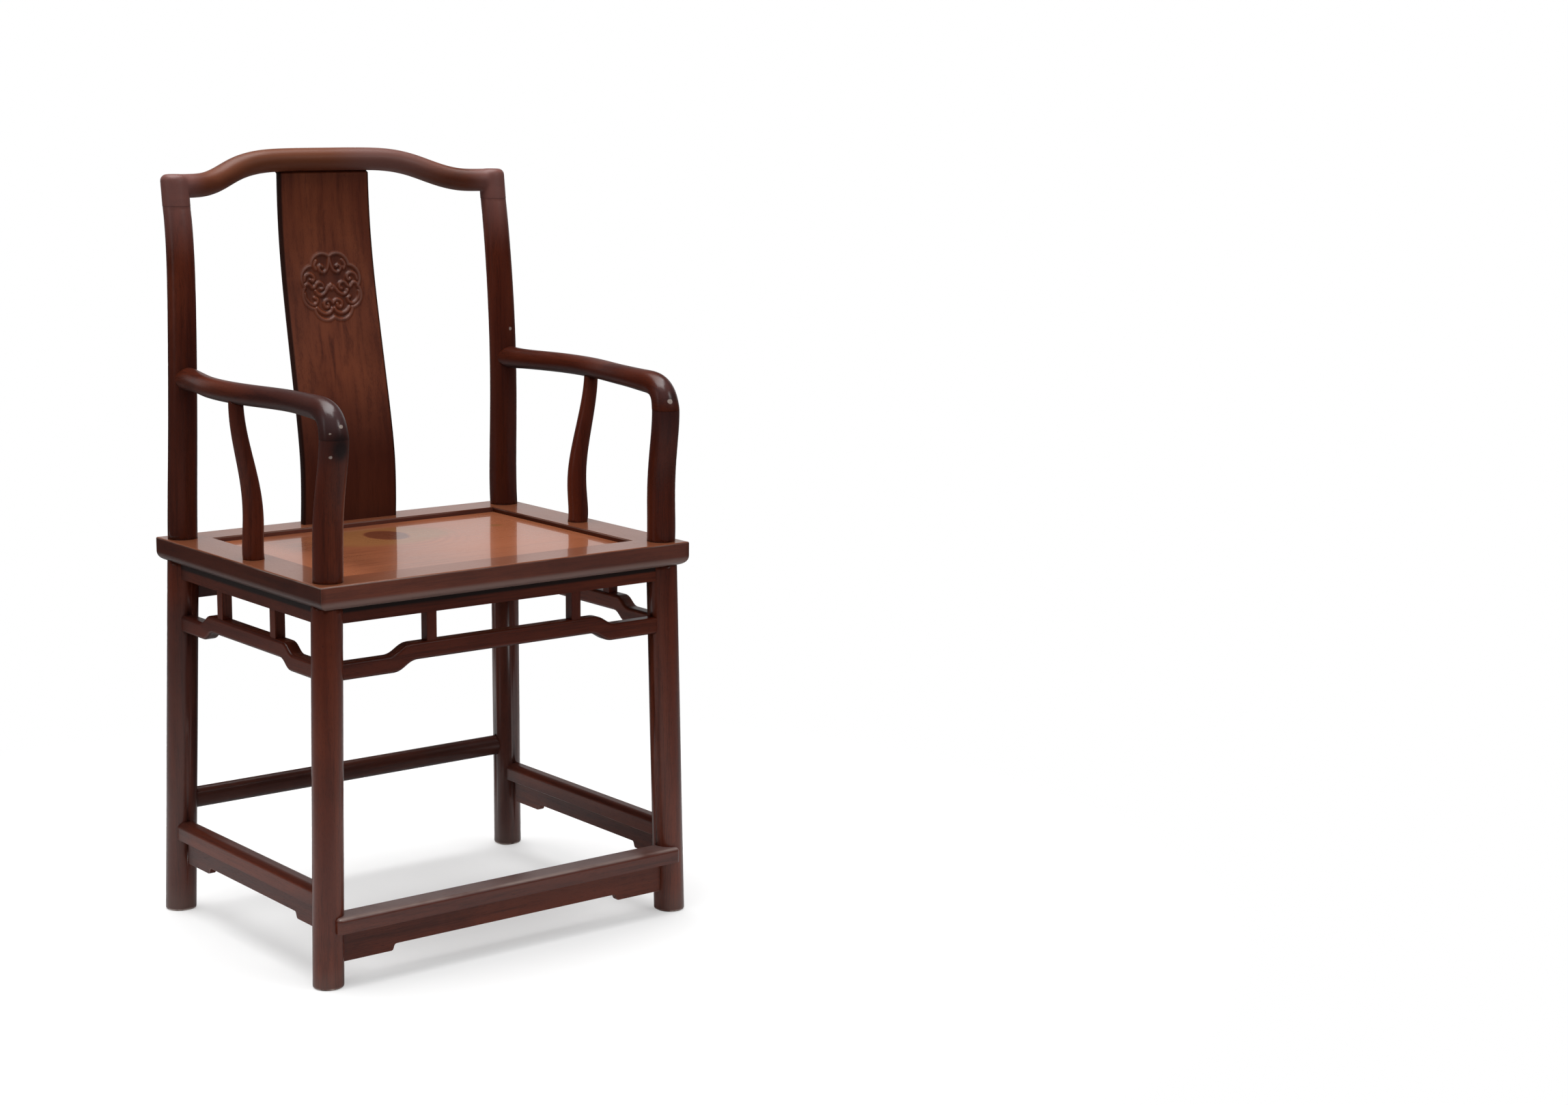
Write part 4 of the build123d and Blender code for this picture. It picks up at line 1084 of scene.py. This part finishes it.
# ---- operators
class CHAIR_OT_posts(bpy.types.Operator):
    """Legs, back posts, arm posts and side posts"""

    bl_idname = "chair.posts"
    bl_label = "Legs and posts"

    def execute(self, context):
        for side in SIDES:
            turned_piece(f"rear_post_{side}", "post", "z", joint=CREST_JOINT)
            turned_piece(f"front_post_{side}", "post", "z", joint=ARM_JOINT)
            turned_piece(f"side_post_{side}", "post", "z")
        return {"FINISHED"}


class CHAIR_OT_crest_and_arms(bpy.types.Operator):
    """Crest rail and both arms"""

    bl_idname = "chair.crest_and_arms"
    bl_label = "Crest rail and arms"

    def execute(self, context):
        crest = turned_piece("crest_rail", "crest", "x")
        melt(crest, CREST_CORNERS, CORNER_REACH, CREST_JOINT)
        for side in SIDES:
            turned_piece(f"arm_{side}", "arm", "y", joint=ARM_JOINT)
        return {"FINISHED"}


class CHAIR_OT_back_board(bpy.types.Operator):
    """Back board with its carved roundel"""

    bl_idname = "chair.back_board"
    bl_label = "Back board"

    def execute(self, context):
        sizes = context.scene.chair_sizes
        outline = lobed_outline(sizes)
        rim = lines_on_board("roundel_rim", [outline], sizes)
        scrolls = [eased_line(BOSS) / 1000]
        for line in SCROLLS:
            right = eased_line(line) / 1000
            scrolls += [right, right * (-1, 1)]
        scrolls = lines_on_board("roundel_scrolls", scrolls, sizes)
        wood = finish_for("board", "z")
        board = hang(bent_board(sizes, outline), "wood_back_board", wood)
        lengths = ("rim_width", "scroll_width", "rim_stand", "scroll_stand")
        carving_tree().work(
            board, rim=rim, scrolls=scrolls, depth=sizes.carving_depth, material=wood,
            **{length: getattr(sizes, length) for length in lengths},
        )
        for lines in (rim, scrolls):
            bpy.data.objects.remove(lines)
        smoothed(board.data, 50)
        stand_in(board, "back_board", "back_splat")
        return {"FINISHED"}


class CHAIR_OT_seat(bpy.types.Operator):
    """Seat frame, seat board and its battens"""

    bl_idname = "chair.seat"
    bl_label = "Seat"

    def execute(self, context):
        sizes = context.scene.chair_sizes
        for side, lie in (("front", "x"), ("back", "x"), ("left", "y"), ("right", "y")):
            eased_piece(f"seat_rail_{side}", "seat_rail", lie, sizes.fine_ease)
        eased_piece("seat_panel", "seat", "x", sizes.fine_ease, "seat_board")
        for side in SIDES:
            eased_piece(f"panel_batten_{side}", "stretcher", "y", sizes.edge_ease)
        return {"FINISHED"}


class CHAIR_OT_rails(bpy.types.Operator):
    """Under rails and humped rails below the seat"""

    bl_idname = "chair.rails"
    bl_label = "Rails below the seat"

    def execute(self, context):
        sizes = context.scene.chair_sizes
        for node in sorted(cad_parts):
            if node.startswith(("under_rail_", "hump_rail_")):
                lie = "x" if node.endswith(("front", "back")) else "y"
                eased_piece(node, "stretcher", lie, sizes.fine_ease)
        return {"FINISHED"}


class CHAIR_OT_struts(bpy.types.Operator):
    """Struts between the rails below the seat"""

    bl_idname = "chair.struts"
    bl_label = "Struts"

    def execute(self, context):
        nodes = sorted(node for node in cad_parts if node.startswith("strut_"))
        if not nodes:
            raise RuntimeError("the frame has no struts")
        boxes = [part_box(node) for node in nodes]
        mesh = bpy.data.meshes.new("struts")
        mesh.from_pydata([tuple((low + high) / 2) for low, high in boxes], [], [])
        turns = [pi / 2 if node.startswith("strut_side") else 0.0 for node in nodes]
        give_attribute(mesh, "turn", "FLOAT", turns)
        low, high = boxes[0]
        point = context.scene.chair_sizes.strut_point
        wood = finish_for("stretcher", "z")
        struts = hang(mesh, "wood_struts", wood)
        height = high.z - low.z - 2 * point
        strut_tree().work(
            struts, width=high.x - low.x, height=height, point=point, material=wood
        )
        ease(struts, context.scene.chair_sizes.fine_ease)
        stand_in(struts, "frame_wood", *nodes)
        return {"FINISHED"}


class CHAIR_OT_stretchers(bpy.types.Operator):
    """Foot rest, stretchers and aprons"""

    bl_idname = "chair.stretchers"
    bl_label = "Stretchers"

    def execute(self, context):
        sizes = context.scene.chair_sizes
        eased_piece("foot_rest", "foot_rest", "x", sizes.fine_ease)
        turned_piece("back_stretcher", "stretcher", "x")
        eased_piece("apron_front", "stretcher", "x", sizes.fine_ease)
        for side in SIDES:
            eased_piece(f"side_stretcher_{side}", "stretcher", "y", sizes.fine_ease)
            eased_piece(f"apron_{side}", "stretcher", "y", sizes.fine_ease)
        return {"FINISHED"}


class CHAIR_OT_stage(bpy.types.Operator):
    """Floor, lamps, world and camera"""

    bl_idname = "chair.stage"
    bl_label = "Studio"

    def execute(self, context):
        scene = context.scene
        stage = scene.chair_stage
        mesh = bpy.data.meshes.new("studio_floor")
        half = FLOOR_HALF
        corners = [(-half, -half, 0), (half, -half, 0), (half, half, 0), (-half, half, 0)]
        mesh.from_pydata(corners, [], [(0, 1, 2, 3)])
        floor = hang(mesh, "studio_floor", floor_finish(stage))

        for name, across, place, strength in LAMPS:
            light = bpy.data.lights.new(name, "AREA")
            light.shape = "RECTANGLE"
            light.size, light.size_y = across
            light.energy = strength * stage.lamps
            lamp = placed(name, light)
            lamp.location = place
            way = Vector(LAMPS_AIM) - lamp.location
            lamp.rotation_euler = way.to_track_quat("-Z", "Y").to_euler()

        scene.world = studio_world(stage)

        lens = bpy.data.cameras.new("studio_camera")
        lens.sensor_width = 36
        lens.lens = CAMERA_LENS
        lens.clip_end = 200
        scene.camera = placed("studio_camera", lens)
        stand = Matrix.Translation(CAMERA_PLACE)
        for axis, angle in CAMERA_TURNS:
            stand = stand @ Matrix.Rotation(radians(angle), 4, axis)
        scene.camera.matrix_world = stand

        scene.view_settings.view_transform = "Standard"
        return {"FINISHED"}


PIECES = (
    CHAIR_OT_posts,
    CHAIR_OT_crest_and_arms,
    CHAIR_OT_back_board,
    CHAIR_OT_seat,
    CHAIR_OT_rails,
    CHAIR_OT_struts,
    CHAIR_OT_stretchers,
    CHAIR_OT_stage,
)


GROUPS = {"chair_sizes": ChairSizes, "chair_colours": ChairColours, "chair_stage": ChairStage}


class CHAIR_PT_panel(bpy.types.Panel):
    """Lists the chair's settings and pieces"""

    bl_idname = "CHAIR_PT_panel"
    bl_label = "Official's Hat Chair"
    bl_space_type = "VIEW_3D"
    bl_region_type = "UI"
    bl_category = "Chair"

    def draw(self, context):
        column = self.layout.column()
        for name, group in GROUPS.items():
            for setting in group.__annotations__:
                column.prop(getattr(context.scene, name), setting)
        for piece in PIECES:
            column.operator(piece.bl_idname)


CLASSES = (*GROUPS.values(), *PIECES, CHAIR_PT_panel)


def register():
    for made in CLASSES:
        bpy.utils.register_class(made)
    for name, group in GROUPS.items():
        setattr(bpy.types.Scene, name, PointerProperty(type=group))


def unregister():
    for name in GROUPS:
        delattr(bpy.types.Scene, name)
    for made in reversed(CLASSES):
        bpy.utils.unregister_class(made)


def main():
    register()
    bpy.ops.chair.posts()
    bpy.ops.chair.crest_and_arms()
    bpy.ops.chair.back_board()
    bpy.ops.chair.seat()
    bpy.ops.chair.rails()
    bpy.ops.chair.struts()
    bpy.ops.chair.stretchers()
    bpy.ops.chair.stage()


if __name__ == "__main__":
    main()
